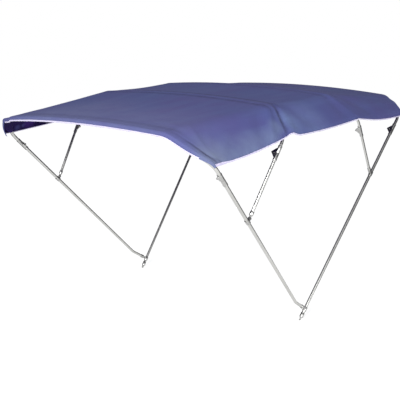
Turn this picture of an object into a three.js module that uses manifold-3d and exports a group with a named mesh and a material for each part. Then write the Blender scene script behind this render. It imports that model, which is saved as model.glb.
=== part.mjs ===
import * as THREE from 'three';
import { mergeVertices } from 'three/addons/utils/BufferGeometryUtils.js';
import Module from 'manifold-3d';

// Four-bow bimini top: one canvas sheet over four bent steel tubes. Millimetres, +Z up.
// The origin lies midway between the two feet; +X runs aft, +Y to the far side.

const wasm = await Module();
wasm.setup();

// The two side frames stand a little apart at the top: half width = FOOT_HALF + FLARE * z.
const FOOT_HALF = 800;
const FLARE = 0.0974;
const FOOT_LENGTH = 58;
const FOOT_JAW = 90;

// Tubes of the frame.
const MAIN_RADIUS = 11.1;
const SHORT_RADIUS = 9.5;
const BEND_RADIUS = 110;
const TUBE_SIDES = 8;
const GAP = 0.3;

// Folding knuckle in every leg, close under the cloth.
const KNUCKLE_HALF = 46;
const KNUCKLE_WALL = 2.4;
const KNUCKLE_PLUG = 14.3;
const LUG_PIN = 34;
const LUG_THICK = 5;
const LUG_SIDE = 3;
const LUG_PLAY = 0.4;

// Outline of a lug, inboard of the sleeve's middle line; up is measured from the joint between the sleeves.
const LUG_OUTLINE = [
  { fromPin: 0, up: -6 },
  { fromPin: 6, up: -2 },
  { fromPin: 4, up: 5 },
];

// Jaw slides, eye ends and their pins.
const JAW_HALF = 16;
const JAW_WALL = 3.5;
const PIN_OFFSET = 23.5;
const EYE_THICK = 6;
const EYE_HALF = 8;
const EYE_NECK = 8;
const CAP_WALL = 2.6;
const CAP_BEVEL = 3;
const CHEEK = 3.5;
const PIN_RADIUS = 3;
const PIN_HEAD = 5.5;
const PIN_HEAD_THICK = 3.5;
const PLAY = 0.4;
const HINGE_RADIUS = 2.4;
const DRILL = 40;
const FOOT_HOLE = 4.2;

// Canvas.
const CANVAS = 1.5;
const STRIP = 1.2;
const TAPE = 1;
const REST = 1.3;
const HEM_LIFT = 3.5;
const LIP = 15;
const SEWN = 0.35;

// Two corners are slack: the cloth stands out from the end bow, ahead of it, and hangs lower.
const SLACK = [
  { index: 0, side: 1, from: 0.8, to: 0.89, out: 48, ahead: 16, lip: 6, turned: 1, drop: 16 },
  { index: 3, side: -1, from: 0.78, to: 0.88, out: 11, ahead: 8, lip: 0, turned: 0, drop: 0 },
];

// One hem has a step just aft of bow 2, where the cloth is pulled up beside the bow.
const HEM_STEP = { panel: 1, part: 0.085, width: 0.055, lift: 19 };

// A quarter turn of the sheet round an end bow eases off by this share towards the tight hems.
const HEM_EASE = 0.62;

// One row a bow. The lengths run along the bow from the middle of its knuckle; x and z place that middle.
// The lean is in degrees, and the tilt lifts the far side of the crown and lowers the near side.
const BOWS = [
  { name: 'bow_1', r: MAIN_RADIUS, x: -1028, z: 1200, lean: 132.42, tilt: -24,
    crown: 351, shoulderY: 735, shoulder: 310, knee: 118 },
  { name: 'bow_2', r: SHORT_RADIUS, x: -533.6, z: 1277.7, lean: 58.62, tilt: 10,
    crown: 328, shoulderY: 770, shoulder: 296, knee: 102 },
  { name: 'bow_3', r: SHORT_RADIUS, x: 500.8, z: 1301.6, lean: 128.12, tilt: 14,
    crown: 370, shoulderY: 765, shoulder: 326, knee: 120 },
  { name: 'bow_4', r: MAIN_RADIUS, x: 1041.6, z: 1259.2, lean: 50.4, tilt: 30,
    crown: 361, shoulderY: 768, shoulder: 325, knee: 135 },
];

// The tilt of a crown is measured at this distance from the middle.
const TILT_AT = 900;

// Low end of the cranked leg of bow 1.
const CRANK = { x: -87, z: 170, radius: 132 };

// Stations of a bow's arch on either side: crown, upper bend, flank, lower bend, end in the knuckle.
const BEND_FROM = 0.7;
const BEND_TO = 0.8;
const KNEE_FROM = 0.95;
const KNEE_TO = 1.05;
const ARCH_END = 1.15;

// Stations across a bow that the sheet and the tubes are built on, 0 at the crown and 1.01 at the hem.
const ACROSS = [
  0, 0.175, 0.35, 0.525, BEND_FROM, 0.725, 0.75, 0.775, BEND_TO, 0.84, 0.88, 0.92, 0.96, 1.01,
];
const TUBE_ACROSS = [
  0, 0.175, 0.35, 0.525, BEND_FROM, 0.725, 0.75, 0.775,
  BEND_TO, KNEE_FROM, 0.975, 1, 1.025, KNEE_TO, ARCH_END,
];

// Stations along each panel between two bows, with the pockets' seam rows first and last.
const ALONG = [
  [0, 0.06, 0.085, 0.2, 0.34, 0.48, 0.62, 0.76, 0.87, 0.93, 0.955],
  [0, 0.07, 0.1, 0.25, 0.42, 0.6, 0.78, 0.9, 0.93],
  [0, 0.045, 0.07, 0.2, 0.35, 0.5, 0.65, 0.8, 0.915, 0.94],
];

// How far each panel sinks between its bows, and how far its two hems hang.
const PANELS = [
  { sag: 4, hemNear: 12, hemFar: 5 },
  { sag: 11, hemNear: 12, hemFar: 12 },
  { sag: 9, hemNear: 18, hemFar: 14 },
];

// Main folds as soft ridges (+) and troughs (-): along counts bows, across runs -1 near hem to 1 far hem.
const FOLDS = [
  { along: 1.1, across: -0.74, toAlong: 1.07, toAcross: -1, width: 48, height: -11 },
  { along: 0.72, across: -0.97, toAlong: 0.95, toAcross: -0.78, width: 60, height: 7 },
  { along: 1.22, across: -0.78, toAlong: 1.45, toAcross: -0.98, width: 60, height: -7 },
  { along: 0.06, across: -0.96, toAlong: 0.4, toAcross: -0.72, width: 50, height: -7 },
  { along: 0.08, across: -0.99, toAlong: 0.55, toAcross: -0.9, width: 45, height: -6 },
  { along: 0.08, across: -0.9, toAlong: 0.14, toAcross: -0.6, width: 40, height: -5 },
  { along: 1.85, across: -0.99, toAlong: 1.93, toAcross: -0.74, width: 55, height: -6 },
  { along: 2.12, across: -0.76, toAlong: 2.4, toAcross: -0.97, width: 70, height: -7 },
  { along: 0.1, across: 0.98, toAlong: 0.3, toAcross: 0.78, width: 50, height: -8 },
  { along: 1.12, across: 0.76, toAlong: 1.06, toAcross: 1, width: 48, height: -8 },
];

const NAVY = 0x54598f;
const NAVY_DARK = 0x3c3f78;
const WHITE_TAPE = 0xd9d5ea;
const STEEL = 0xb9bcbb;
const STEEL_DARK = 0x8c8f8e;

const model = new THREE.Group();

function addPiece(name, geometry, color, metalness, roughness, place) {
  const material = new THREE.MeshStandardMaterial({ color, metalness, roughness });
  const mesh = new THREE.Mesh(geometry, material);
  mesh.name = name;
  if (place) {
    mesh.position.copy(place.origin);
    mesh.quaternion.setFromRotationMatrix(new THREE.Matrix4().makeBasis(place.x, place.y, place.z));
  }
  model.add(mesh);
  return mesh;
}

const steel = (name, geometry, place) => addPiece(name, geometry, STEEL, 0.95, 0.22, place);
const casting = (name, geometry, place) => addPiece(name, geometry, STEEL_DARK, 0.9, 0.35, place);
const vec = (x, y, z) => new THREE.Vector3(x, y, z);
const smooth = (a, b, v) => THREE.MathUtils.smoothstep(v, a, b);
const mix = (a, b, t) => a + (b - a) * t;

// Joining and cutting of closed meshes.

function toSolid(geometry) {
  const bare = geometry.clone();
  bare.deleteAttribute('normal');
  bare.deleteAttribute('uv');
  const merged = mergeVertices(bare, 1e-4);
  return new wasm.Manifold(new wasm.Mesh({
    numProp: 3,
    vertProperties: new Float32Array(merged.attributes.position.array),
    triVerts: new Uint32Array(merged.index.array),
  }));
}

function toGeometry(solid) {
  const mesh = solid.getMesh();
  const geometry = new THREE.BufferGeometry();
  geometry.setAttribute('position', new THREE.BufferAttribute(new Float32Array(mesh.vertProperties), 3));
  geometry.setIndex(new THREE.BufferAttribute(new Uint32Array(mesh.triVerts), 1));
  geometry.computeVertexNormals();
  return geometry;
}

// Side frames and bows.

// A bore's corners stand out far enough that its flats clear a tube turned any way.
const boreFor = (radius) => (radius + GAP) / Math.cos(Math.PI / TUBE_SIDES);

function onSide(x, z, side) {
  return vec(x, side * (FOOT_HALF + FLARE * z), z);
}

const leanX = (bow) => Math.cos(THREE.MathUtils.degToRad(bow.lean));
const leanZ = (bow) => Math.sin(THREE.MathUtils.degToRad(bow.lean));

function roundCorner(corner, into, out, radius, part) {
  const turn = Math.acos(THREE.MathUtils.clamp(into.dot(out), -1, 1));
  const reach = radius * Math.tan(turn / 2);
  const start = corner.clone().addScaledVector(into, -reach);
  const inward = new THREE.Vector2(into.y, -into.x);
  if (inward.dot(out) < 0) inward.negate();
  const centre = start.clone().addScaledVector(inward, radius);
  const spin = Math.sign(into.x * out.y - into.y * out.x) * turn * part;
  return start.clone().rotateAround(centre, spin);
}

// Centre line of a bow in its own plane: x of the result is the distance from the middle, y runs up the bow.
function bowLine(bow, across) {
  const side = across < 0 ? -1 : 1;
  const a = Math.abs(across);
  const lift = (y) => side * bow.tilt * y / TILT_AT;
  const drop = bow.crown - bow.shoulder;
  const crownAt = (y) => bow.crown - drop * (y / bow.shoulderY) ** 2 + lift(y);
  const legY = (s) => FOOT_HALF + FLARE * (bow.z + s * leanZ(bow));
  const shoulder = new THREE.Vector2(bow.shoulderY, crownAt(bow.shoulderY));
  const knee = new THREE.Vector2(legY(bow.knee), bow.knee);
  const foot = new THREE.Vector2(legY(0), 0);
  const alongCrown = new THREE.Vector2(1, (-2 * drop) / bow.shoulderY + lift(1)).normalize();
  const alongFlank = knee.clone().sub(shoulder).normalize();
  const alongLeg = foot.clone().sub(knee).normalize();
  const bendA = (part) => roundCorner(shoulder, alongCrown, alongFlank, BEND_RADIUS, part);
  const bendB = (part) => roundCorner(knee, alongFlank, alongLeg, BEND_RADIUS, part);
  const share = (from, to) => (a - from) / (to - from);
  let flat;
  if (a <= BEND_FROM) {
    const y = bendA(0).x * share(0, BEND_FROM);
    flat = new THREE.Vector2(y, crownAt(y));
  } else if (a <= BEND_TO) flat = bendA(share(BEND_FROM, BEND_TO));
  else if (a <= KNEE_FROM) flat = bendA(1).lerp(bendB(0), share(BEND_TO, KNEE_FROM));
  else if (a <= KNEE_TO) flat = bendB(share(KNEE_FROM, KNEE_TO));
  else {
    const end = new THREE.Vector2(legY(KNUCKLE_PLUG + GAP), KNUCKLE_PLUG + GAP);
    flat = bendB(1).lerp(end, share(KNEE_TO, ARCH_END));
  }
  return vec(side * flat.x, flat.y, 0);
}

function bowPoint(bow, across) {
  const flat = bowLine(bow, across);
  return vec(bow.x + flat.y * leanX(bow), flat.x, bow.z + flat.y * leanZ(bow));
}

class StationCurve extends THREE.Curve {
  constructor(points) {
    super();
    this.points = points;
  }

  getPoint(t, target = new THREE.Vector3()) {
    const at = t * (this.points.length - 1);
    const i = Math.min(Math.floor(at), this.points.length - 2);
    return target.copy(this.points[i]).lerp(this.points[i + 1], at - i);
  }

  getUtoTmapping(u) {
    return u;
  }

  getTangent(t, target = new THREE.Vector3()) {
    const last = this.points.length - 1;
    const i = Math.round(t * last);
    const before = this.points[Math.max(i - 1, 0)];
    const after = this.points[Math.min(i + 1, last)];
    return target.copy(after).sub(before).normalize();
  }
}

function tubeAlong(points, radius) {
  const ring = new THREE.Shape();
  for (let i = 0; i < TUBE_SIDES; i += 1) {
    const angle = (i + 0.5) * 2 * Math.PI / TUBE_SIDES;
    if (i === 0) ring.moveTo(radius * Math.cos(angle), radius * Math.sin(angle));
    else ring.lineTo(radius * Math.cos(angle), radius * Math.sin(angle));
  }
  return new THREE.ExtrudeGeometry(ring, { steps: points.length - 1, extrudePath: new StationCurve(points) });
}

const mirrored = (list) => [...list.slice(1).reverse().map((v) => -v), ...list];

// The arch of each bow runs from knuckle to knuckle; its plane is laid over by the lean.
for (const bow of BOWS) {
  const points = mirrored(TUBE_ACROSS).map((across) => bowLine(bow, across));
  const place = {
    origin: vec(bow.x, 0, bow.z),
    x: vec(0, 1, 0),
    y: vec(leanX(bow), 0, leanZ(bow)),
    z: vec(leanZ(bow), 0, -leanX(bow)),
  };
  steel(`${bow.name}_arch`, tubeAlong(points, bow.r), place);
}

// Legs.

const alongBow = (bow, s, side) => onSide(bow.x + s * leanX(bow), bow.z + s * leanZ(bow), side);

// Axes at a point of a leg: z up the leg, y straight out of the side frame, x across in its plane.
function legAxes(bow, s, side) {
  const z = alongBow(bow, s + 1, side).sub(alongBow(bow, s, side)).normalize();
  const y = vec(0, side, -FLARE).normalize();
  return { origin: alongBow(bow, s, side), x: y.clone().cross(z), y, z };
}

function axesToward(from, to, side) {
  const z = to.clone().sub(from).normalize();
  const y = vec(0, side, -FLARE).normalize();
  return { origin: from, x: y.clone().cross(z), y, z };
}

// Where a leg's eye sits: beside the tube that carries it, in the plane of the side frame.
function pinBeside(carrier, s, side, toward) {
  const axes = legAxes(carrier, s, side);
  return axes.origin.clone().addScaledVector(axes.x, toward * PIN_OFFSET);
}

const [BOW1, BOW2, BOW3, BOW4] = BOWS;
const SIDES = [{ tag: 'near', side: -1 }, { tag: 'far', side: 1 }];
const flatLength = (bow, x, z) => (x - bow.x) * leanX(bow) + (z - bow.z) * leanZ(bow);

// Stations of the jaws on the legs that carry them.
const JAW_ON_1 = flatLength(BOW1, -763.2, 908.8);
const JAW_ON_4 = flatLength(BOW4, 784, 948);
const FOOT_ON_4 = flatLength(BOW4, 0, 0);

const SOCKET = 18;
const SHORT_EYE = 44;
const MAIN_EYE = 46;

function straightTube(from, to, radius) {
  return tubeAlong([from, to], radius);
}

function shaft(radius, length, sides = TUBE_SIDES) {
  return new THREE.CylinderGeometry(radius, radius, length, sides).rotateX(Math.PI / 2);
}

for (const { tag, side } of SIDES) {
  const under = (bow) => alongBow(bow, -KNUCKLE_PLUG - GAP, side);

  // Bow 4: straight from the foot to the knuckle.
  const foot4 = alongBow(BOW4, FOOT_ON_4 + FOOT_LENGTH - SOCKET + GAP, side);
  steel(`bow_4_leg_${tag}`, straightTube(foot4, under(BOW4), BOW4.r));

  // Bow 1: cranked near its low end, which hangs on the jaw above the foot.
  const pin1 = pinBeside(BOW4, FOOT_ON_4 + FOOT_JAW, side, side > 0 ? -1 : 1);
  const crank = onSide(CRANK.x, CRANK.z, side);
  const lowDir = crank.clone().sub(pin1).normalize();
  const upDir = under(BOW1).sub(crank).normalize();
  const half = CRANK.radius * Math.tan(lowDir.angleTo(upDir) / 2);
  const points = [pin1.clone().addScaledVector(lowDir, MAIN_EYE - SOCKET + GAP)];
  const turnFrom = crank.clone().addScaledVector(lowDir, -half);
  const turnTo = crank.clone().addScaledVector(upDir, half);
  for (let i = 0; i <= 4; i += 1) {
    const t = i / 4;
    const a = turnFrom.clone().lerp(crank, t);
    points.push(a.lerp(crank.clone().lerp(turnTo, t), t));
  }
  points.push(under(BOW1));
  steel(`bow_1_leg_${tag}`, tubeAlong(points, BOW1.r));
  addEye(`bow_1_eye_${tag}`, BOW1.r, MAIN_EYE, axesToward(pin1, crank, side));

  // Bows 2 and 3: short legs from the jaws on bows 1 and 4.
  const carried = [
    { bow: BOW2, carrier: BOW1, s: JAW_ON_1, toward: side > 0 ? 1 : -1 },
    { bow: BOW3, carrier: BOW4, s: JAW_ON_4, toward: side > 0 ? -1 : 1 },
  ];
  for (const { bow, carrier, s, toward } of carried) {
    const pin = pinBeside(carrier, s, side, toward);
    const up = under(bow).sub(pin).normalize();
    const start = pin.clone().addScaledVector(up, SHORT_EYE - SOCKET + GAP);
    steel(`${bow.name}_leg_${tag}`, straightTube(start, under(bow), bow.r));
    addEye(`${bow.name}_eye_${tag}`, bow.r, SHORT_EYE, axesToward(pin, under(bow), side));
    addJaw(`${bow.name}_jaw_${tag}`, carrier, s, side, toward);
  }
  addJaw(`bow_1_jaw_${tag}`, BOW4, FOOT_ON_4 + FOOT_JAW, side, side > 0 ? -1 : 1);
  const footAxes = axesToward(alongBow(BOW4, FOOT_ON_4, side), alongBow(BOW4, 0, side), side);
  addEye(`foot_eye_${tag}`, BOW4.r, FOOT_LENGTH, footAxes, EYE_HALF, FOOT_HOLE);
  for (const bow of BOWS) addKnuckle(bow, tag, side);
}

// Fittings.

// Eye end: a cap over the tube's end with a flat tongue and a round hole for the pin.
function addEye(name, tubeRadius, length, place, eyeAt = 0, holeRadius = PIN_RADIUS + 0.5) {
  const outer = tubeRadius + CAP_WALL;
  const base = eyeAt + EYE_HALF + EYE_NECK;
  const profile = [
    new THREE.Vector2(0, base),
    new THREE.Vector2(outer - CAP_BEVEL, base),
    new THREE.Vector2(outer, base + CAP_BEVEL + 1),
    new THREE.Vector2(outer, length),
    new THREE.Vector2(boreFor(tubeRadius), length),
    new THREE.Vector2(boreFor(tubeRadius), length - SOCKET),
    new THREE.Vector2(0, length - SOCKET),
  ];
  const cap = new THREE.LatheGeometry(profile, TUBE_SIDES).rotateX(Math.PI / 2);
  const tongue = new THREE.Shape();
  tongue.moveTo(-EYE_HALF, base + 3);
  tongue.lineTo(-EYE_HALF, eyeAt);
  for (let i = 1; i < 6; i += 1) {
    const angle = Math.PI + i * Math.PI / 6;
    tongue.lineTo(EYE_HALF * Math.cos(angle), eyeAt + EYE_HALF * Math.sin(angle));
  }
  tongue.lineTo(EYE_HALF, eyeAt);
  tongue.lineTo(EYE_HALF, base + 3);
  const hole = new THREE.Path();
  for (let i = 0; i < 8; i += 1) {
    const angle = -i * Math.PI / 4;
    const x = holeRadius * Math.cos(angle);
    const y = eyeAt + holeRadius * Math.sin(angle);
    if (i === 0) hole.moveTo(x, y);
    else hole.lineTo(x, y);
  }
  tongue.holes.push(hole);
  const plate = new THREE.ExtrudeGeometry(tongue, { depth: EYE_THICK, bevelEnabled: false });
  plate.translate(0, 0, -EYE_THICK / 2).rotateX(Math.PI / 2);
  casting(name, toGeometry(toSolid(cap).add(toSolid(plate))), place);
}

// Jaw slide: a ring round the carrying tube with two cheeks, and the pin through them.
function addJaw(name, carrier, s, side, toward) {
  const place = legAxes(carrier, s, side);
  const inner = boreFor(carrier.r);
  const outer = carrier.r + JAW_WALL;
  const profile = [
    new THREE.Vector2(inner, -JAW_HALF),
    new THREE.Vector2(outer, -JAW_HALF),
    new THREE.Vector2(outer, JAW_HALF),
    new THREE.Vector2(inner, JAW_HALF),
    new THREE.Vector2(inner, -JAW_HALF),
  ];
  const ring = toSolid(new THREE.LatheGeometry(profile, TUBE_SIDES).rotateX(Math.PI / 2));
  const bore = toSolid(shaft(inner, 4 * JAW_HALF));
  const mouth = EYE_THICK / 2 + PLAY;
  const drill = new THREE.CylinderGeometry(PIN_RADIUS + GAP, PIN_RADIUS + GAP, DRILL, 8);
  const hole = toSolid(drill.translate(toward * PIN_OFFSET, 0, 0));
  let jaw = ring;
  for (const way of [-1, 1]) {
    const cheek = new THREE.BoxGeometry(PIN_OFFSET + EYE_HALF, CHEEK, 2 * EYE_HALF);
    cheek.translate(toward * (PIN_OFFSET + EYE_HALF) / 2, way * (mouth + CHEEK / 2), 0);
    jaw = jaw.add(toSolid(cheek).subtract(bore).subtract(hole));
  }
  casting(name, toGeometry(jaw), place);
  const grip = mouth + CHEEK;
  const end = grip + PIN_HEAD_THICK;
  const pin = [
    new THREE.Vector2(0, -end),
    new THREE.Vector2(PIN_HEAD, -end),
    new THREE.Vector2(PIN_HEAD, -grip - GAP),
    new THREE.Vector2(PIN_RADIUS, -grip - GAP),
    new THREE.Vector2(PIN_RADIUS, grip + GAP),
    new THREE.Vector2(PIN_HEAD, grip + GAP),
    new THREE.Vector2(PIN_HEAD, end),
    new THREE.Vector2(0, end),
  ];
  const pinPlace = { ...place, origin: pinBeside(carrier, s, side, toward) };
  steel(name.replace('jaw', 'pin'), new THREE.LatheGeometry(pin, 8), pinPlace);
}

// A cylinder across the lugs at their pin, for the pin itself and for the hole it turns in.
function lugPin(radius, length) {
  const pin = new THREE.CylinderGeometry(radius, radius, length, 8);
  return toSolid(pin.rotateZ(Math.PI / 2).translate(0, -LUG_PIN, 0));
}

// One lug plate, upright for the top sleeve (way 1) and turned over for the low one (way -1).
function lugPlate(outer, way, thick, shift) {
  const lug = new THREE.Shape();
  lug.moveTo(-outer + 2, way);
  lug.lineTo(-outer + 2, way * 30);
  lug.lineTo(-outer - 4, way * 27);
  for (const corner of LUG_OUTLINE.slice().reverse()) lug.lineTo(-LUG_PIN - corner.fromPin, way * corner.up);
  lug.lineTo(-outer - 4.5, -way * 2);
  lug.lineTo(-outer - 3, way);
  const plate = new THREE.ExtrudeGeometry(lug, { depth: thick, bevelEnabled: false });
  plate.translate(0, 0, shift - thick / 2);
  plate.applyMatrix4(new THREE.Matrix4().makeBasis(vec(0, 1, 0), vec(0, 0, 1), vec(1, 0, 0)));
  return toSolid(plate);
}

// Folding knuckle: two sleeves end to end, joined by lugs on the inboard side.
function addKnuckle(bow, tag, side) {
  const place = legAxes(bow, 0, side);
  const outer = bow.r + KNUCKLE_WALL;
  const inner = boreFor(bow.r);
  const profile = [
    new THREE.Vector2(0, PLAY),
    new THREE.Vector2(outer, PLAY),
    new THREE.Vector2(outer, KNUCKLE_HALF),
    new THREE.Vector2(inner, KNUCKLE_HALF),
    new THREE.Vector2(inner, KNUCKLE_PLUG),
    new THREE.Vector2(0, KNUCKLE_PLUG),
  ];
  const sleeve = new THREE.LatheGeometry(profile, TUBE_SIDES).rotateX(Math.PI / 2);
  const beside = (LUG_SIDE + LUG_THICK) / 2 + LUG_PLAY;
  let top = toSolid(sleeve);
  for (const shift of [-beside, beside]) {
    const plate = lugPlate(outer, 1, LUG_SIDE, shift);
    top = top.add(plate.subtract(lugPin(HINGE_RADIUS + LUG_PLAY, DRILL)));
  }
  const low = toSolid(sleeve.clone().rotateX(Math.PI))
    .add(lugPlate(outer, -1, LUG_THICK, 0))
    .add(lugPin(HINGE_RADIUS, LUG_THICK + 2 * LUG_SIDE + 4));
  casting(`${bow.name}_knuckle_top_${tag}`, toGeometry(top), place);
  casting(`${bow.name}_knuckle_low_${tag}`, toGeometry(low), place);
}

// Canvas.

// The sheet's own axes where it lies on a bow: tangent along the bow, aft, and outward.
function seat(index, across) {
  const bow = BOWS[index];
  const step = 0.002;
  const tangent = bowPoint(bow, across + step).sub(bowPoint(bow, across - step)).normalize();
  const before = BOWS[Math.max(index - 1, 0)];
  const after = BOWS[Math.min(index + 1, BOWS.length - 1)];
  const lengthwise = bowPoint(after, across).sub(bowPoint(before, across)).normalize();
  const out = lengthwise.clone().cross(tangent).normalize();
  const aft = tangent.clone().cross(out).normalize();
  return { centre: bowPoint(bow, across), out, aft };
}

// How slack the sheet is at a station of a bow, and what that adds to one of its measures.
function slackBy(index, across, measure) {
  const row = SLACK.find((corner) => corner.index === index && corner.side * across > 0);
  return row ? row[measure] * smooth(row.from, row.to, Math.abs(across)) : 0;
}

// The hems stand a little off every bow, and the slack corners stand well off.
function standOff(index, across) {
  return REST + HEM_LIFT * smooth(0.9, 1, Math.abs(across)) + slackBy(index, across, 'out');
}

function ridge(index, across) {
  const s = seat(index, across);
  const point = s.centre.clone().addScaledVector(s.out, BOWS[index].r + standOff(index, across) + CANVAS / 2);
  const ahead = index === 0 ? -1 : 1;
  point.addScaledVector(s.aft, ahead * slackBy(index, across, 'ahead'));
  point.z -= slackBy(index, across, 'drop') * smooth(0.88, 1, Math.abs(across));
  return point;
}

function foldHeight(along, across) {
  let height = 0;
  for (const fold of FOLDS) {
    const start = new THREE.Vector2(fold.along * 850, fold.across * 1000);
    const end = new THREE.Vector2(fold.toAlong * 850, fold.toAcross * 1000);
    const point = new THREE.Vector2(along * 850, across * 1000);
    const line = end.clone().sub(start);
    const t = THREE.MathUtils.clamp(point.clone().sub(start).dot(line) / line.lengthSq(), 0, 1);
    const away = point.distanceTo(start.addScaledVector(line, t)) / fold.width;
    height += fold.height * Math.exp(-away * away) * Math.sin(Math.PI * mix(0.15, 0.85, t));
  }
  return height;
}

// Middle of the sheet between bow number panel and the next one.
function panelPoint(panel, part, across) {
  const from = ridge(panel, across);
  const to = ridge(panel + 1, across);
  const point = from.clone().lerp(to, part);
  const out = seat(panel, across).out.lerp(seat(panel + 1, across).out, part).normalize();
  const { sag, hemNear, hemFar } = PANELS[panel];
  const wave = Math.sin(Math.PI * part);
  const a = Math.abs(across);
  const clear = smooth(0, 0.06, part) * smooth(0, 0.06, 1 - part);
  const sunk = sag * wave * (1 - smooth(BEND_FROM, 1, a));
  point.addScaledVector(out, clear * foldHeight(panel + part, across) - sunk);
  point.z -= (across < 0 ? hemNear : hemFar) * wave * smooth(0.86, 1, a);
  if (panel === HEM_STEP.panel && across < 0) {
    const away = (part - HEM_STEP.part) / HEM_STEP.width;
    point.z += HEM_STEP.lift * smooth(0.88, 1, a) * Math.exp(-away * away);
  }
  return point;
}

// How far the sheet is turned round an end bow: all the way on the crown and in the slack corner,
// less towards the other hems.
function wrapAt(index, across) {
  const tight = 1 - slackBy(index, across, 'turned');
  return 1 - HEM_EASE * tight * smooth(0.84, 1.02, Math.abs(across));
}

// The turned-down lip of an end bow: its base, the way it hangs, and straight out of it.
function lipFrame(index, across) {
  const s = seat(index, across);
  const away = index === 0 ? s.aft.clone().negate() : s.aft.clone();
  const wrap = wrapAt(index, across);
  const radius = BOWS[index].r + REST + CANVAS / 2;
  const centre = ridge(index, across).addScaledVector(s.out, -radius);
  const angle = wrap * Math.PI / 2;
  const facing = s.out.clone().multiplyScalar(Math.cos(angle)).addScaledVector(away, Math.sin(angle));
  const down = s.out.clone().multiplyScalar(-Math.sin(angle)).addScaledVector(away, Math.cos(angle));
  const length = LIP * wrap + slackBy(index, across, 'lip');
  return { centre, radius, facing, down, length, out: s.out, away, wrap };
}

// Steps 1 to 3 go round the tube, and step 4 is the free end of the lip.
function wrapPoint(index, across, step) {
  const lip = lipFrame(index, across);
  if (step === 4) {
    return lip.centre.clone().addScaledVector(lip.facing, lip.radius).addScaledVector(lip.down, lip.length);
  }
  const angle = lip.wrap * (Math.PI / 2) * step / 3;
  return lip.centre.clone()
    .addScaledVector(lip.out, lip.radius * Math.cos(angle))
    .addScaledVector(lip.away, lip.radius * Math.sin(angle));
}

// Every station along the sheet, front lip to aft lip.
const LIP_STEPS = [1, 2, 3, 4];
const STATIONS = LIP_STEPS.map((step) => (across) => wrapPoint(0, across, step)).reverse();
ALONG.forEach((parts, panel) => {
  for (const part of parts) STATIONS.push((across) => panelPoint(panel, part, across));
});
STATIONS.push((across) => ridge(3, across));
for (const step of LIP_STEPS) STATIONS.push((across) => wrapPoint(3, across, step));

// The way through a point from the one before it to the one after it, whichever of them is nearer.
function through(before, here, after) {
  return here.clone().sub(before).normalize().add(after.clone().sub(here).normalize());
}

// A thin closed sheet through a grid of middle points; the outer face looks along rows x columns.
function sheetSolid(grid, thickness) {
  const rows = grid.length - 1;
  const columns = grid[0].length - 1;
  const box = new THREE.BoxGeometry(columns, rows, 1, columns, rows, 1);
  const position = box.attributes.position;
  const within = (value, most) => THREE.MathUtils.clamp(value, 0, most);
  const pick = (r, c) => grid[within(r, rows)][within(c, columns)];
  for (let i = 0; i < position.count; i += 1) {
    const c = Math.round(position.getX(i) + columns / 2);
    const r = Math.round(position.getY(i) + rows / 2);
    const here = pick(r, c);
    const normal = through(pick(r, c - 1), here, pick(r, c + 1))
      .cross(through(pick(r - 1, c), here, pick(r + 1, c)))
      .normalize();
    const point = here.clone().addScaledVector(normal, Math.sign(position.getZ(i)) * thickness / 2);
    position.setXYZ(i, point.x, point.y, point.z);
  }
  // A box's two faces are split along opposite diagonals; here both take the same one.
  const back = box.groups.find((group) => group.materialIndex === 5);
  for (let i = back.start; i < back.start + back.count; i += 6) {
    const [a, b, d, , c] = box.index.array.slice(i, i + 5);
    box.index.array.set([a, b, c, a, c, d], i);
  }
  box.deleteAttribute('uv');
  box.computeVertexNormals();
  return box;
}

// Rows run from aft to front so that the outer face of the box is the outer face of the sheet.
const acrossAll = mirrored(ACROSS);
const canopyGrid = STATIONS.map((station) => acrossAll.map((across) => station(across)));
addPiece('canopy', sheetSolid(canopyGrid.slice().reverse(), CANVAS), NAVY, 0, 0.85);

// Pocket strips under the sheet: each takes a bow in. The end bows' pockets reach down the flanks.
const UNDER = CANVAS / 2 + SEWN + STRIP / 2;
const PASS = 2.6;

function outwardAt(panel, part, across) {
  const d = 0.004;
  const p = THREE.MathUtils.clamp(part, d, 1 - d);
  const a = THREE.MathUtils.clamp(across, -0.995, 0.995);
  const lengthwise = panelPoint(panel, p + d, a).sub(panelPoint(panel, p - d, a));
  const sideways = panelPoint(panel, p, a + d).sub(panelPoint(panel, p, a - d));
  return lengthwise.cross(sideways).normalize();
}

const sewnUnder = (panel, part) => (across) =>
  panelPoint(panel, part, across).addScaledVector(outwardAt(panel, part, across), -UNDER);

const besideTube = (index, aftward, outward) => (across) => {
  const s = seat(index, across);
  return s.centre.clone().addScaledVector(s.aft, aftward).addScaledVector(s.out, outward);
};

// Behind the lip's end: so far up from it, and so far inside it where the sheet is slack.
const behindLip = (index, back, inside = 0) => (across) => {
  const lip = lipFrame(index, across);
  const loose = inside * slackBy(index, across, 'turned');
  return lip.centre.clone()
    .addScaledVector(lip.facing, lip.radius - UNDER - loose)
    .addScaledVector(lip.down, lip.length - back);
};

// A strip goes under the tube of an inner bow from seam to seam.
function innerPocket(index, seamsAft, seamsFore) {
  const r = BOWS[index].r;
  return [
    sewnUnder(index, seamsAft[1]),
    sewnUnder(index, seamsAft[0]),
    besideTube(index, r + PASS, 1 - r),
    besideTube(index, 0, -r - PASS),
    besideTube(index, -r - PASS, 1 - r),
    sewnUnder(index - 1, seamsFore[1]),
    sewnUnder(index - 1, seamsFore[0]),
  ];
}

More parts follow.
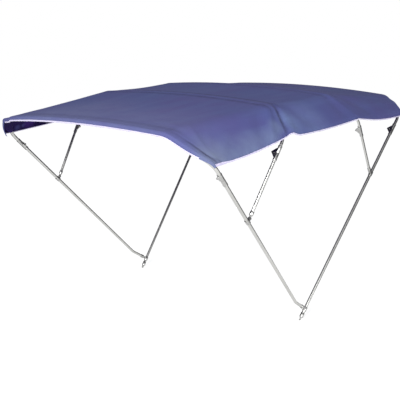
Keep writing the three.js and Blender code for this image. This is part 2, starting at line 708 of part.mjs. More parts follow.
// At an end bow the strip comes up behind the lip. In the slack corner it also passes before the tube.
function endPocket(index, way, panel, seams) {
  const r = BOWS[index].r;
  const eased = (tight, slack) => (across) => {
    const k = slackBy(index, across, 'turned');
    return besideTube(index, way * mix(tight.back, slack.back, k), mix(tight.out, slack.out, k))(across);
  };
  const round = (r + PASS + 1.4) * Math.SQRT1_2;
  return [
    sewnUnder(panel, seams[0]),
    sewnUnder(panel, seams[1]),
    besideTube(index, -way * (r + PASS), 1 - r),
    besideTube(index, 0, -r - PASS),
    eased({ back: 4, out: -r - PASS - 0.3 }, { back: round, out: -round }),
    eased({ back: 7.5, out: -r - 0.8 }, { back: r + PASS + 0.9, out: -3 }),
    behindLip(index, 3.2, 4),
    behindLip(index, 0),
  ];
}

// Each row is a pocket, with the stretch of the bow that it takes in.
const POCKETS = [
  { name: 'pocket_1', from: -0.88, to: 0.96, path: endPocket(0, -1, 0, [0.085, 0.06]) },
  { name: 'pocket_2', from: -0.8, to: 0.8, path: innerPocket(1, [0.07, 0.1], [0.93, 0.955]) },
  { name: 'pocket_3', from: -0.8, to: 0.8, path: innerPocket(2, [0.045, 0.07], [0.9, 0.93]) },
  { name: 'pocket_4', from: -0.8, to: 0.88, path: endPocket(3, 1, 2, [0.915, 0.94]).reverse() },
];
for (const pocket of POCKETS) {
  const stretch = acrossAll.filter((across) => across >= pocket.from && across <= pocket.to);
  const grid = pocket.path.map((place) => stretch.map((across) => place(across)));
  addPiece(pocket.name, sheetSolid(grid, STRIP), NAVY_DARK, 0, 0.9);
}

// White tape folded over the edges of the sheet.
const OUTSIDE = CANVAS / 2 + 2 * GAP + TAPE / 2;
const INSIDE = OUTSIDE + STRIP + 2 * SEWN;
const TAPE_COVER = 8;
const HEM_OFF = OUTSIDE + GAP;

function tapeOverLip(index, from, to) {
  const stretch = acrossAll.filter((across) => across >= from && across <= to);
  const path = [
    { off: OUTSIDE, reach: -TAPE_COVER },
    { off: OUTSIDE, reach: 0.4 },
    { off: 0, reach: 1.9 },
    { off: -INSIDE, reach: 0.4 },
    { off: -INSIDE, reach: -1.5 },
  ];
  const rows = path.map(({ off, reach }) => stretch.map((across) => {
    const lip = lipFrame(index, across);
    const along = Math.max(lip.length + reach, 0.5);
    return lip.centre.clone().addScaledVector(lip.facing, lip.radius + off).addScaledVector(lip.down, along);
  }));
  return index === 0 ? rows : rows.reverse();
}

addPiece('binding_front', sheetSolid(tapeOverLip(0, -0.92, 0.8), TAPE), WHITE_TAPE, 0, 0.8);
addPiece('binding_aft', sheetSolid(tapeOverLip(3, -0.8, 0.84), TAPE), WHITE_TAPE, 0, 0.8);

// Side tapes: wider for a hand's breadth at the front corner, where the white shows as a patch.
function tapeOverHem(side) {
  const rows = [];
  const picks = canopyGrid.slice(LIP_STEPS.length, -LIP_STEPS.length);
  const column = side < 0 ? 0 : acrossAll.length - 1;
  const inner = side < 0 ? 1 : acrossAll.length - 2;
  const frames = picks.map((row, i) => {
    const edge = row[column];
    const down = edge.clone().sub(row[inner]).normalize();
    const at = LIP_STEPS.length + i;
    const ahead = through(canopyGrid[at - 1][column], edge, canopyGrid[at + 1][column]);
    const out = ahead.cross(down).multiplyScalar(side).normalize();
    return { edge, down, out, wide: mix(15, 7, smooth(0, 3, i)) };
  });
  const path = [
    [HEM_OFF, (f) => -f.wide],
    [HEM_OFF, () => 0.9],
    [-HEM_OFF, () => 0.9],
    [-HEM_OFF, () => -5],
  ];
  for (const [offset, reach] of path) {
    rows.push(frames.map((f) => {
      return f.edge.clone().addScaledVector(f.out, offset).addScaledVector(f.down, reach(f));
    }));
  }
  return side < 0 ? rows.reverse() : rows;
}

addPiece('binding_side_near', sheetSolid(tapeOverHem(-1), TAPE), WHITE_TAPE, 0, 0.8);
addPiece('binding_side_far', sheetSolid(tapeOverHem(1), TAPE), WHITE_TAPE, 0, 0.8);

export default model;
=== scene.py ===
import math
from collections import namedtuple

import bmesh
import bpy
import numpy as np
from mathutils import Matrix, Vector


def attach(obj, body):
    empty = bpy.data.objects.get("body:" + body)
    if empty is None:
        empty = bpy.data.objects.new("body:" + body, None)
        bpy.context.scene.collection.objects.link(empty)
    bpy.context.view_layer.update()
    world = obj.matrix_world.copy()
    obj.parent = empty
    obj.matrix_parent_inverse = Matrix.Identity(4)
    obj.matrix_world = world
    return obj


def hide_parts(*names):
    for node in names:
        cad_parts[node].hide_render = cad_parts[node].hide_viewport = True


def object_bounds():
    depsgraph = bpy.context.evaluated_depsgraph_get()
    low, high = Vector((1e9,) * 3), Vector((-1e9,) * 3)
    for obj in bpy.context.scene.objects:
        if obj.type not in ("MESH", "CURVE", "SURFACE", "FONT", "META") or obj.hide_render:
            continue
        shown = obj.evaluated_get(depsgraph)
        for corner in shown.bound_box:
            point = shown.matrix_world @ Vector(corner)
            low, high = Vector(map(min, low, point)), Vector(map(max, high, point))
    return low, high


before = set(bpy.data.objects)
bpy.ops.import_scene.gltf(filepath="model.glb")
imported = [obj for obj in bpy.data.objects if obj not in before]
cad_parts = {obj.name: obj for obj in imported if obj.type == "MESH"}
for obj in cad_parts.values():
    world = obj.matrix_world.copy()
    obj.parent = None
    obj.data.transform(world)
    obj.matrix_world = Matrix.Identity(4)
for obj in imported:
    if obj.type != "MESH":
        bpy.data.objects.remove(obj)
cad_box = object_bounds()

# The bows.
# Four arches of bright stainless tube, cold bent twice at each shoulder. The two end bows are 22 mm tube
# and the two inner ones 19 mm, and each arch is pushed into the folding knuckles of its two legs.

FOOT_HALF = 0.800
FLARE = 0.0974
MAIN_TUBE = 0.0111
SHORT_TUBE = 0.0095
BEND_RADIUS = 0.110
TILT_AT = 0.900
KNUCKLE_PLUG = 0.0143
GAP = 0.0003

# Stations of an arch on either side, 0 at the crown: upper bend, flank, lower bend, end in the knuckle. The
# steps are the rings of the tube along each of those stretches.
BEND_FROM, BEND_TO = 0.70, 0.80
KNEE_FROM, KNEE_TO = 0.95, 1.05
ARCH_END = 1.15
CROWN_STEPS, BEND_STEPS, FLANK_STEPS, KNEE_STEPS = 15, 9, 3, 7

# Lengths run along a bow from the middle of its knuckle, which stands at x, z; the lean is in degrees.
Bow = namedtuple("Bow", "name tube x z lean tilt crown shoulder_y shoulder knee")
BOWS = [
    Bow("bow_1", MAIN_TUBE, -1.0280, 1.2000, 132.42, -0.024, 0.351, 0.735, 0.310, 0.118),
    Bow("bow_2", SHORT_TUBE, -0.5336, 1.2777, 58.62, 0.010, 0.328, 0.770, 0.296, 0.102),
    Bow("bow_3", SHORT_TUBE, 0.5008, 1.3016, 128.12, 0.014, 0.370, 0.765, 0.326, 0.120),
    Bow("bow_4", MAIN_TUBE, 1.0416, 1.2592, 50.40, 0.030, 0.361, 0.768, 0.325, 0.135),
]
SIDES = {"near": -1, "far": 1}


def unit(vectors):
    return vectors / np.linalg.norm(vectors, axis=-1, keepdims=True)


def mix(a, b, t):
    return a + (b - a) * t


def smooth(low, high, value):
    t = np.clip((value - low) / (high - low), 0, 1)
    return t * t * (3 - 2 * t)


def uphill(bow):
    """Unit step up a bow's leaning plane, as x and z."""
    lean = math.radians(bow.lean)
    return math.cos(lean), math.sin(lean)


def round_corner(corner, into, out, part):
    """A point on the bend that turns from one straight to the next, part 0 at its start and 1 at its end."""
    turn = math.acos(max(-1.0, min(1.0, into @ out)))
    start = corner - into * BEND_RADIUS * math.tan(turn / 2)
    inward = np.array([into[1], -into[0]])
    if inward @ out < 0:
        inward = -inward
    arm = -inward * BEND_RADIUS
    spin = math.copysign(turn * part, into[0] * out[1] - into[1] * out[0])
    turned = [
        math.cos(spin) * arm[0] - math.sin(spin) * arm[1],
        math.sin(spin) * arm[0] + math.cos(spin) * arm[1],
    ]
    return start + inward * BEND_RADIUS + turned


def bow_line(bow, across):
    """Centre line of a bow in its own plane: distance from the middle, and height up the bow."""
    side, a = (-1 if across < 0 else 1), abs(across)
    rise = side * bow.tilt / TILT_AT
    drop = bow.crown - bow.shoulder

    def crown_at(y):
        return bow.crown - drop * (y / bow.shoulder_y) ** 2 + rise * y

    def leg_at(s):
        return np.array([FOOT_HALF + FLARE * (bow.z + s * uphill(bow)[1]), s])

    shoulder = np.array([bow.shoulder_y, crown_at(bow.shoulder_y)])
    knee, low = leg_at(bow.knee), leg_at(0)
    along_crown = unit(np.array([1, -2 * drop / bow.shoulder_y + rise]))
    along_flank, along_leg = unit(knee - shoulder), unit(low - knee)

    def upper_bend(part):
        return round_corner(shoulder, along_crown, along_flank, part)

    def lower_bend(part):
        return round_corner(knee, along_flank, along_leg, part)

    if a <= BEND_FROM:
        y = upper_bend(0)[0] * a / BEND_FROM
        flat = np.array([y, crown_at(y)])
    elif a <= BEND_TO:
        flat = upper_bend((a - BEND_FROM) / (BEND_TO - BEND_FROM))
    elif a <= KNEE_FROM:
        flat = mix(upper_bend(1), lower_bend(0), (a - BEND_TO) / (KNEE_FROM - BEND_TO))
    elif a <= KNEE_TO:
        flat = lower_bend((a - KNEE_FROM) / (KNEE_TO - KNEE_FROM))
    else:
        flat = mix(lower_bend(1), leg_at(KNUCKLE_PLUG + GAP), (a - KNEE_TO) / (ARCH_END - KNEE_TO))
    return side * flat[0], flat[1]


def bow_points(bow, stations):
    """Centre line of a bow in the frame's own axes, one row for each station across it."""
    flat = np.array([bow_line(bow, a) for a in stations])
    x_step, z_step = uphill(bow)
    return np.stack([bow.x + flat[:, 1] * x_step, flat[:, 0], bow.z + flat[:, 1] * z_step], axis=1)


def add_node(tree, kind, settings=None, inputs=None):
    """Adds a node to any tree: its settings first, then the values or links of its sockets."""
    node = tree.nodes.new(kind)
    for key, value in (settings or {}).items():
        setattr(node, key, value)
    for key, value in (inputs or {}).items():
        if isinstance(value, bpy.types.NodeSocket):
            tree.links.new(value, node.inputs[key])
        else:
            node.inputs[key].default_value = value
    return node


class Wire:
    """A value in a material's node tree. Arithmetic on it adds Math nodes."""

    def __init__(self, finish, socket):
        self.finish, self.socket = finish, socket

    def maths(self, operation, first, second=0.0):
        return self.finish.add("ShaderNodeMath", {"operation": operation}, {0: first, 1: second})

    def __add__(self, other):
        return self.maths("ADD", self, other)

    def __sub__(self, other):
        return self.maths("SUBTRACT", self, other)

    def __rsub__(self, other):
        return self.maths("SUBTRACT", other, self)

    def __mul__(self, other):
        return self.maths("MULTIPLY", self, other)

    def __pow__(self, other):
        return self.maths("POWER", self, other)

    __radd__, __rmul__ = __add__, __mul__


class Finish:
    """A material with one Principled shader. Keyword values are constants on the shader's own sockets."""

    def __init__(self, name, **constants):
        self.material = bpy.data.materials.new(name)
        self.material.use_nodes = True
        self.tree = self.material.node_tree
        self.shader = self.tree.nodes["Principled BSDF"]
        for key, value in constants.items():
            label = key.replace("_", " ").title().replace("Ior", "IOR")
            self.shader.inputs[label].default_value = value

    def add(self, kind, settings=None, inputs=None, output=0):
        """Adds any other node, with values or wires for its sockets."""
        sockets = {key: getattr(value, "socket", value) for key, value in (inputs or {}).items()}
        return Wire(self, add_node(self.tree, kind, settings, sockets).outputs[output])

    def feed(self, socket, wire):
        self.tree.links.new(wire.socket, self.shader.inputs[socket])

    def noise(self, place, scale, detail=2.0, roughness=0.5):
        """Cloudy noise from 0 to 1 on a coordinate."""
        inputs = {"Vector": place, "Scale": scale, "Detail": detail, "Roughness": roughness}
        return self.add("ShaderNodeTexNoise", {}, inputs)

    def blend(self, factor, first, second):
        """One colour mixed into another."""
        inputs = {0: factor, 6: first, 7: second}
        return self.add("ShaderNodeMix", {"data_type": "RGBA", "clamp_factor": True}, inputs, 2)

    def bump(self, height, strength, distance):
        inputs = {"Height": height, "Strength": strength, "Distance": distance}
        self.feed("Normal", self.add("ShaderNodeBump", {}, inputs))


def steel_finish(name, bright, dull, roughness, spread):
    """Polished or satin stainless. Smears of polish change its roughness, and handling has dulled patches."""
    finish = Finish(name, metallic=1.0)
    place = finish.add("ShaderNodeTexCoord", output="Object")
    smears = finish.noise(place, scale=11.0, detail=3.0, roughness=0.6)
    handled = finish.noise(place, scale=7.0, detail=3.0)
    finish.feed("Roughness", handled * spread + smears * spread + (roughness - spread))
    finish.feed("Base Color", finish.blend(handled * 1.6 - 0.3, (*dull, 1), (*bright, 1)))
    return finish.material


tube_steel = steel_finish("tube_steel", (0.60, 0.60, 0.58), (0.46, 0.46, 0.44), 0.30, 0.05)


def new_object(name, data):
    made = bpy.data.objects.new(name, data)
    bpy.context.collection.objects.link(made)
    return made


def nodes_tree(name, sizes):
    """An empty Geometry Nodes tree with a geometry input and output, and one named input for each size."""
    tree = bpy.data.node_groups.new(name, "GeometryNodeTree")
    tree.interface.new_socket("Geometry", in_out="INPUT", socket_type="NodeSocketGeometry")
    for label, kind in sizes.items():
        tree.interface.new_socket(label, in_out="INPUT", socket_type=f"NodeSocket{kind}")
    tree.interface.new_socket("Geometry", in_out="OUTPUT", socket_type="NodeSocketGeometry")
    return tree, tree.nodes.new("NodeGroupInput"), tree.nodes.new("NodeGroupOutput")


def end_tree(tree, given, made, geometry):
    """Ends a tree in one real mesh of the given material."""
    real = add_node(tree, "GeometryNodeRealizeInstances", {}, {"Geometry": geometry})
    clad = add_node(tree, "GeometryNodeSetMaterial", {}, {
        "Geometry": real.outputs["Geometry"], "Material": given.outputs["Material"],
    })
    tree.links.new(clad.outputs["Geometry"], made.inputs["Geometry"])
    return tree


def tube_tree():
    """Sweeps a round section along a curve and closes its ends."""
    sizes = {"Radius": "Float", "Sides": "Int", "Material": "Material"}
    tree, given, made = nodes_tree("tube_on_path", sizes)
    ring = add_node(tree, "GeometryNodeCurvePrimitiveCircle", {}, {
        "Radius": given.outputs["Radius"], "Resolution": given.outputs["Sides"],
    })
    wall = add_node(tree, "GeometryNodeCurveToMesh", {}, {
        "Curve": given.outputs["Geometry"], "Profile Curve": ring.outputs["Curve"], "Fill Caps": True,
    })
    return end_tree(tree, given, made, wall.outputs["Mesh"])


def grown(name, paths, tree, sizes):
    """Runs a Geometry Nodes tree on open paths and leaves its result as a plain mesh object."""
    curve = bpy.data.curves.new(f"{name}_path", "CURVE")
    curve.dimensions = "3D"
    for points in paths:
        spline = curve.splines.new("POLY")
        spline.points.add(len(points) - 1)
        spline.points.foreach_set("co", np.column_stack([points, np.ones(len(points))]).ravel())
    source = new_object(f"{name}_source", curve)
    modifier = source.modifiers.new("grow", "NODES")
    modifier.node_group = tree
    for item in tree.interface.items_tree:
        if item.in_out == "INPUT" and item.name in sizes:
            modifier[item.identifier] = sizes[item.name]
    ready = source.evaluated_get(bpy.context.evaluated_depsgraph_get())
    mesh = bpy.data.meshes.new_from_object(ready)
    source.modifiers.remove(modifier)
    bpy.data.objects.remove(source)
    mesh.name = name
    return new_object(name, mesh)


def fit(piece, slot, *nodes):
    """Puts a piece on the object's one body, for the nodes that it replaces, and hides those nodes. Its slot
    is not used.
    """
    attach(piece, "root")
    if nodes:
        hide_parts(*nodes)
    return piece


TUBE_SIDES = 28
tube_on_path = tube_tree()


def tube(name, points, radius):
    piece = grown(f"{name}_tube", [points], tube_on_path, {
        "Radius": radius, "Sides": TUBE_SIDES, "Material": tube_steel,
    })
    piece.data.shade_smooth()
    return fit(piece, "tube", name)


arch_half = np.concatenate([
    np.linspace(0, BEND_FROM, CROWN_STEPS), np.linspace(BEND_FROM, BEND_TO, BEND_STEPS)[1:],
    np.linspace(BEND_TO, KNEE_FROM, FLANK_STEPS)[1:], np.linspace(KNEE_FROM, KNEE_TO, KNEE_STEPS)[1:],
    [ARCH_END],
])
arch_stations = np.concatenate([-arch_half[:0:-1], arch_half])
for bow in BOWS:
    tube(f"{bow.name}_arch", bow_points(bow, arch_stations), bow.tube)

# The legs.
# Straight lengths of the same tube below the knuckles. Bow 4 stands on its foot, bow 1 is cranked near its
# low end, and the two inner bows are carried by jaw slides part way up the end bows.

FOOT_LENGTH = 0.058
FOOT_JAW = 0.090
PIN_OFFSET = 0.0235
SOCKET = 0.018
SHORT_EYE = 0.044
MAIN_EYE = 0.046
CRANK_X, CRANK_Z, CRANK_RADIUS, CRANK_STEPS = -0.087, 0.170, 0.132, 13
JAW_ON_1 = (-0.7632, 0.9088)
JAW_ON_4 = (0.784, 0.948)


def on_side(x, z, side):
    return np.array([x, side * (FOOT_HALF + FLARE * z), z])


def on_leg(bow, s, side):
    x_step, z_step = uphill(bow)
    return on_side(bow.x + s * x_step, bow.z + s * z_step, side)


def station_of(bow, x, z):
    """How far a place in the side frame lies up a bow's leg from the middle of its knuckle."""
    x_step, z_step = uphill(bow)
    return (x - bow.x) * x_step + (z - bow.z) * z_step


def axes_toward(start, end, side):
    """A fitting's axes as a matrix: z towards the end, y straight out of the side frame."""
    z = unit(end - start)
    y = unit(np.array([0, side, -FLARE]))
    x = np.cross(y, z)
    return Matrix([[x[i], y[i], z[i], start[i]] for i in range(3)] + [[0, 0, 0, 1]])


def leg_axes(bow, s, side):
    return axes_toward(on_leg(bow, s, side), on_leg(bow, s + 1, side), side)


def pin_beside(carrier, s, side, toward):
    """Where a leg's eye sits: beside the tube that carries it, in the plane of the side frame."""
    return np.array(leg_axes(carrier, s, side) @ Vector((toward * PIN_OFFSET, 0, 0)))


bow_1, bow_2, bow_3, bow_4 = BOWS
foot_on_4 = station_of(bow_4, 0, 0)

# One row a joint of two legs: the leg that is carried, its carrier, where on it, the eye's length, and
# whether the eye lies ahead of the carrier (-1) or behind it (1).
Joint = namedtuple("Joint", "bow carrier s eye lies")
JOINTS = [
    Joint(bow_1, bow_4, foot_on_4 + FOOT_JAW, MAIN_EYE, -1),
    Joint(bow_2, bow_1, station_of(bow_1, *JAW_ON_1), SHORT_EYE, 1),
    Joint(bow_3, bow_4, station_of(bow_4, *JAW_ON_4), SHORT_EYE, -1),
]

for tag, side in SIDES.items():
    low_end = on_leg(bow_4, foot_on_4 + FOOT_LENGTH - SOCKET + GAP, side)
    tube(f"bow_4_leg_{tag}", np.array([low_end, on_leg(bow_4, -KNUCKLE_PLUG - GAP, side)]), bow_4.tube)
    for joint in JOINTS:
        pin = pin_beside(joint.carrier, joint.s, side, joint.lies * side)
        top = on_leg(joint.bow, -KNUCKLE_PLUG - GAP, side)
        above_eye = joint.eye - SOCKET + GAP
        name = f"{joint.bow.name}_leg_{tag}"
        if joint.bow is not bow_1:
            tube(name, np.array([pin + unit(top - pin) * above_eye, top]), joint.bow.tube)
            continue
        crank = on_side(CRANK_X, CRANK_Z, side)
        low, high = unit(crank - pin), unit(top - crank)
        reach = CRANK_RADIUS * math.tan(math.acos(low @ high) / 2)
        start, end = crank - low * reach, crank + high * reach
        bend = [mix(mix(start, crank, t), mix(crank, end, t), t) for t in np.linspace(0, 1, CRANK_STEPS)]
        tube(name, np.array([pin + low * above_eye, *bend, top]), bow_1.tube)

# Knuckles.
# In-line hinges of cast stainless, one in each leg close under the cloth: two sleeves end to end. Their lugs
# stand inboard and are riveted together, so that the bow folds down once its tubes are freed.

KNUCKLE_HALF = 0.046
KNUCKLE_WALL = 0.0024
KNUCKLE_BEAD, BEAD_HIGH = 0.041, 0.0008
LUG_PIN = 0.034
LUG_NOSE = 0.006
LUG_THICK = 0.005
LUG_SIDE = 0.003
PLAY = 0.0004
HINGE_RADIUS = 0.0024
RIVET_STANDS = 0.002
DRILL = 0.040
EDGE, EDGE_ANGLE, SHARP_ANGLE = 0.0005, 40, 38
ROUND_SIDES, SHAFT_SIDES = 32, 24
ON_AXIS = 1e-6

cast_steel = steel_finish("cast_steel", (0.5, 0.5, 0.49), (0.34, 0.34, 0.33), 0.3, 0.09)
pin_steel = steel_finish("pin_steel", (0.6, 0.6, 0.59), (0.46, 0.46, 0.45), 0.2, 0.05)


def lathe(profile, sides=ROUND_SIDES):
    """A turned shape round z, from a profile of radius and height that ends on the axis or is a ring."""
    shape = bmesh.new()
    rings = []
    for radius, height in profile:
        turn = [2 * math.pi * i / sides for i in range(sides)] if radius > ON_AXIS else [0]
        places = [(radius * math.cos(a), radius * math.sin(a), height) for a in turn]
        rings.append([shape.verts.new(place) for place in places])
    closed = profile[0][0] > ON_AXIS
    for low, high in zip(rings, rings[1:] + ([rings[0]] if closed else [])):
        for i in range(sides):
            j = (i + 1) % sides
            corners = [low[i % len(low)], low[j % len(low)], high[j % len(high)], high[i % len(high)]]
            shape.faces.new(list(dict.fromkeys(corners)))
    bmesh.ops.recalc_face_normals(shape, faces=shape.faces)
    return shape


def plate(outline, thickness, turn):
    """A flat plate cut to an outline in x and y, centred on its thickness, then turned into place."""
    shape = bmesh.new()
    flat = shape.faces.new([shape.verts.new((x, y, -thickness / 2)) for x, y in outline])
    grown_up = bmesh.ops.extrude_face_region(shape, geom=[flat])
    raised = [item for item in grown_up["geom"] if isinstance(item, bmesh.types.BMVert)]
    bmesh.ops.translate(shape, verts=raised, vec=(0, 0, thickness))
    bmesh.ops.recalc_face_normals(shape, faces=shape.faces)
    bmesh.ops.transform(shape, matrix=turn, verts=shape.verts)
    return shape


def as_object(name, shape):
    mesh = bpy.data.meshes.new(name)
    shape.to_mesh(mesh)
    shape.free()
    return new_object(name, mesh)


def settled(piece):
    """Applies a piece's modifiers."""
    ready = piece.evaluated_get(bpy.context.evaluated_depsgraph_get())
    mesh = bpy.data.meshes.new_from_object(ready)
    piece.modifiers.clear()
    old, piece.data = piece.data, mesh
    mesh.name = piece.name
    bpy.data.meshes.remove(old)


def forge(node, place, finish, slot, added, cut=()):
    """One metal fitting: shapes joined and cut, its edges broken, set in place in its own mesh."""
    piece = as_object(f"{node}_cast", added[0])
    tools = [(as_object("tool", shape), "UNION") for shape in added[1:]]
    tools += [(as_object("tool", shape), "DIFFERENCE") for shape in cut]
    for tool, operation in tools:
        step = piece.modifiers.new("join", "BOOLEAN")
        step.object, step.operation, step.solver = tool, operation, "EXACT"
    settled(piece)
    for tool, _ in tools:
        bpy.data.objects.remove(tool)
    edge = piece.modifiers.new("edge", "BEVEL")
    edge.width, edge.segments, edge.limit_method = EDGE, 2, "ANGLE"
    edge.angle_limit = math.radians(EDGE_ANGLE)
    settled(piece)
    piece.data.transform(place)
    piece.data.shade_smooth()
    piece.data.set_sharp_from_angle(angle=math.radians(SHARP_ANGLE))
    piece.data.materials.clear()
    piece.data.materials.append(finish)
    return fit(piece, slot, node)


def shaft(radius, length, turn):
    profile = [(0, -length / 2), (radius, -length / 2), (radius, length / 2), (0, length / 2)]
    shape = lathe(profile, SHAFT_SIDES)
    bmesh.ops.transform(shape, matrix=turn, verts=shape.verts)
    return shape


def lug(outer, way, thickness, shift):
    """One lug plate of a knuckle, seen along x, with its round nose about the hinge pin."""
    turn = np.radians(range(60, -121, -20))
    nose = [(-LUG_PIN - LUG_NOSE * math.cos(a), way * LUG_NOSE * math.sin(a)) for a in turn]
    outline = [(-outer + 0.002, way * 0.001), (-outer + 0.002, way * 0.030), (-outer - 0.004, way * 0.027)]
    outline += nose + [(-outer - 0.0045, -way * 0.002), (-outer - 0.003, way * 0.001)]
    upright = Matrix(((0, 0, 1, shift), (1, 0, 0, 0), (0, 1, 0, 0), (0, 0, 0, 1)))
    return plate(outline, thickness, upright)


def across_lugs(radius, length):
    return shaft(radius, length, Matrix.Translation((0, -LUG_PIN, 0)) @ Matrix.Rotation(math.pi / 2, 4, "Y"))


def sleeve(bow, way):
    outer, inner = bow.tube + KNUCKLE_WALL, bow.tube + GAP
    profile = [
        (0, PLAY), (outer, PLAY), (outer, KNUCKLE_BEAD - 0.001), (outer + BEAD_HIGH, KNUCKLE_BEAD),
        (outer + BEAD_HIGH, KNUCKLE_HALF), (inner, KNUCKLE_HALF), (inner, KNUCKLE_PLUG), (0, KNUCKLE_PLUG),
    ]
    return lathe([(radius, way * height) for radius, height in profile])


for bow in BOWS:
    for tag, side in SIDES.items():
        place = leg_axes(bow, 0, side)
        outer = bow.tube + KNUCKLE_WALL
        beside = (LUG_SIDE + LUG_THICK) / 2 + PLAY
        ears = [lug(outer, 1, LUG_SIDE, shift) for shift in (-beside, beside)]
        hole = across_lugs(HINGE_RADIUS + PLAY, DRILL)
        forge(f"{bow.name}_knuckle_top_{tag}", place, cast_steel, "fitting", [sleeve(bow, 1), *ears], [hole])
        pin = across_lugs(HINGE_RADIUS, LUG_THICK + 2 * LUG_SIDE + 2 * RIVET_STANDS)
        tongue = lug(outer, -1, LUG_THICK, 0)
        forge(f"{bow.name}_knuckle_low_{tag}", place, cast_steel, "fitting", [sleeve(bow, -1), tongue, pin])

# Eye ends, jaw slides and pins.
# A cast cap with a flat tongue closes each leg that is carried, and a ring with two cheeks holds it on the
# carrying tube by a turned pin. The feet have the same cap, longer and with a hole for the deck hinge.

EYE_HALF = 0.008
EYE_NECK = 0.008
EYE_THICK = 0.006
CAP_WALL = 0.0026
CAP_BEVEL, CAP_SHOULDER = 0.003, (0.0008, 0.0018)
JAW_HALF = 0.016
JAW_WALL = 0.0035
CHEEK = 0.0035
PIN_RADIUS = 0.003
PIN_HEAD = 0.0055
PIN_HEAD_THICK = 0.0035
PIN_SLOT, PIN_SLOT_DEEP = 0.001, 0.0008
EYE_PLAY = 0.0005
FOOT_HOLE = 0.0042
UPRIGHT = Matrix.Rotation(math.pi / 2, 4, "X")


def eye_end(node, tube_radius, length, place, hole_radius, eye_at=0.0):
    outer, inner = tube_radius + CAP_WALL, tube_radius + GAP
    base = eye_at + EYE_HALF + EYE_NECK
    in_shoulder, up_shoulder = CAP_SHOULDER
    cap = lathe([
        (0, base), (outer - CAP_BEVEL, base), (outer - in_shoulder, base + up_shoulder),
        (outer, base + CAP_BEVEL + 0.001), (outer, length), (inner, length),
        (inner, length - SOCKET), (0, length - SOCKET),
    ])
    turn = np.radians(range(180, 361, 15))
    round_end = [(EYE_HALF * math.cos(a), eye_at + EYE_HALF * math.sin(a)) for a in turn]
    outline = [(-EYE_HALF, base + 0.003), *round_end, (EYE_HALF, base + 0.003)]
    hole = shaft(hole_radius, DRILL, Matrix.Translation((0, 0, eye_at)) @ UPRIGHT)
    forge(node, place, cast_steel, "fitting", [cap, plate(outline, EYE_THICK, UPRIGHT)], [hole])


def jaw_slide(node, carrier, place, toward):
    """Ring on the carrying tube, with a cheek on each side of the eye and a turned pin through all three."""
    inner, outer = carrier.tube + GAP, carrier.tube + JAW_WALL
    mouth = EYE_THICK / 2 + PLAY
    ring = lathe([(inner, -JAW_HALF), (outer, -JAW_HALF), (outer, JAW_HALF), (inner, JAW_HALF)])
    reach = PIN_OFFSET + EYE_HALF
    turn = np.radians(range(0, 181, 15))
    nose = [(reach - EYE_HALF + EYE_HALF * math.sin(a), -EYE_HALF * math.cos(a)) for a in turn]
    start = carrier.tube + 0.001
    cheeks = []
    for way in (-1, 1):
        outline = [(toward * x, z) for x, z in [(start, -EYE_HALF), *nose, (start, EYE_HALF)]]
        beside = Matrix.Translation((0, way * (mouth + CHEEK / 2), 0)) @ UPRIGHT
        cheeks.append(plate(outline, CHEEK, beside))
    at_pin = Matrix.Translation((toward * PIN_OFFSET, 0, 0)) @ UPRIGHT
    drill = shaft(PIN_RADIUS + GAP, DRILL, at_pin)
    bore = lathe([(0, -0.03), (inner, -0.03), (inner, 0.03), (0, 0.03)])
    forge(node, place, cast_steel, "fitting", [ring, *cheeks], [bore, drill])
    grip = mouth + CHEEK
    end = grip + PIN_HEAD_THICK
    pin = lathe([
        (0, -end), (PIN_HEAD, -end), (PIN_HEAD, -grip - GAP), (PIN_RADIUS, -grip - GAP),
        (PIN_RADIUS, grip + GAP), (PIN_HEAD, grip + GAP), (PIN_HEAD, end), (0, end),
    ], SHAFT_SIDES)
    half = PIN_SLOT / 2
    blade = [(-0.01, -half), (0.01, -half), (0.01, half), (-0.01, half)]
    slot_cut = plate(blade, 2 * PIN_SLOT_DEEP, Matrix.Translation((0, 0, end)))
    forge(node.replace("jaw", "pin"), place @ at_pin, pin_steel, "pin", [pin], [slot_cut])


for tag, side in SIDES.items():
    for joint in JOINTS:
        toward = joint.lies * side
        pin = pin_beside(joint.carrier, joint.s, side, toward)
        aim = on_leg(joint.bow, -KNUCKLE_PLUG - GAP, side)
        if joint.bow is bow_1:
            aim = on_side(CRANK_X, CRANK_Z, side)
        eye_place = axes_toward(pin, aim, side)
        eye_end(f"{joint.bow.name}_eye_{tag}", joint.bow.tube, joint.eye, eye_place, PIN_RADIUS + EYE_PLAY)
        jaw_place = leg_axes(joint.carrier, joint.s, side)
        jaw_slide(f"{joint.bow.name}_jaw_{tag}", joint.carrier, jaw_place, toward)
    foot_place = leg_axes(bow_4, foot_on_4, side)
    eye_end(f"foot_eye_{tag}", bow_4.tube, FOOT_LENGTH, foot_place, FOOT_HOLE, EYE_HALF)

# The canopy.
# One sheet of navy acrylic canvas, cut and sewn to the arches' shape and stretched from bow to bow. Its
# ends turn down round the end bows. Two corners are slack: there the sheet bellies out from the tube.

CANVAS = 0.0015
REST = 0.0013
HEM_LIFT, LIFT_FROM = 0.0035, 0.9
HEM_AT = 1.01
HANG_FROM = 0.86
LIP, LIP_LEAST = 0.015, 0.0005
LIP_EASE, EASE_FROM, EASE_TO = 0.62, 0.84, 1.02
COLUMNS = 181
AFT_STEP = 0.0125
ROWS_AT_BOW = [0, 0.002, 0.005, 0.010, 0.017, 0.026, 0.036]
SEAM_ROW = 0.003
LIP_ROWS, ROUND_ROWS = (0, 0.35, 0.7), 8
CREASE_ANGLE = 60
NUDGE = 0.002

# Seams that hold the pockets, in their order along the sheet: the panel and the part of its length.
SEAMS = [
    (0, 0.060), (0, 0.085), (0, 0.930), (0, 0.955), (1, 0.070), (1, 0.100),
    (1, 0.900), (1, 0.930), (2, 0.045), (2, 0.070), (2, 0.915), (2, 0.940),
]
SEAM_DEEP, SEAM_WIDE = 0.0005, 0.0022
SEAM_FADES = (0.72, 0.84)

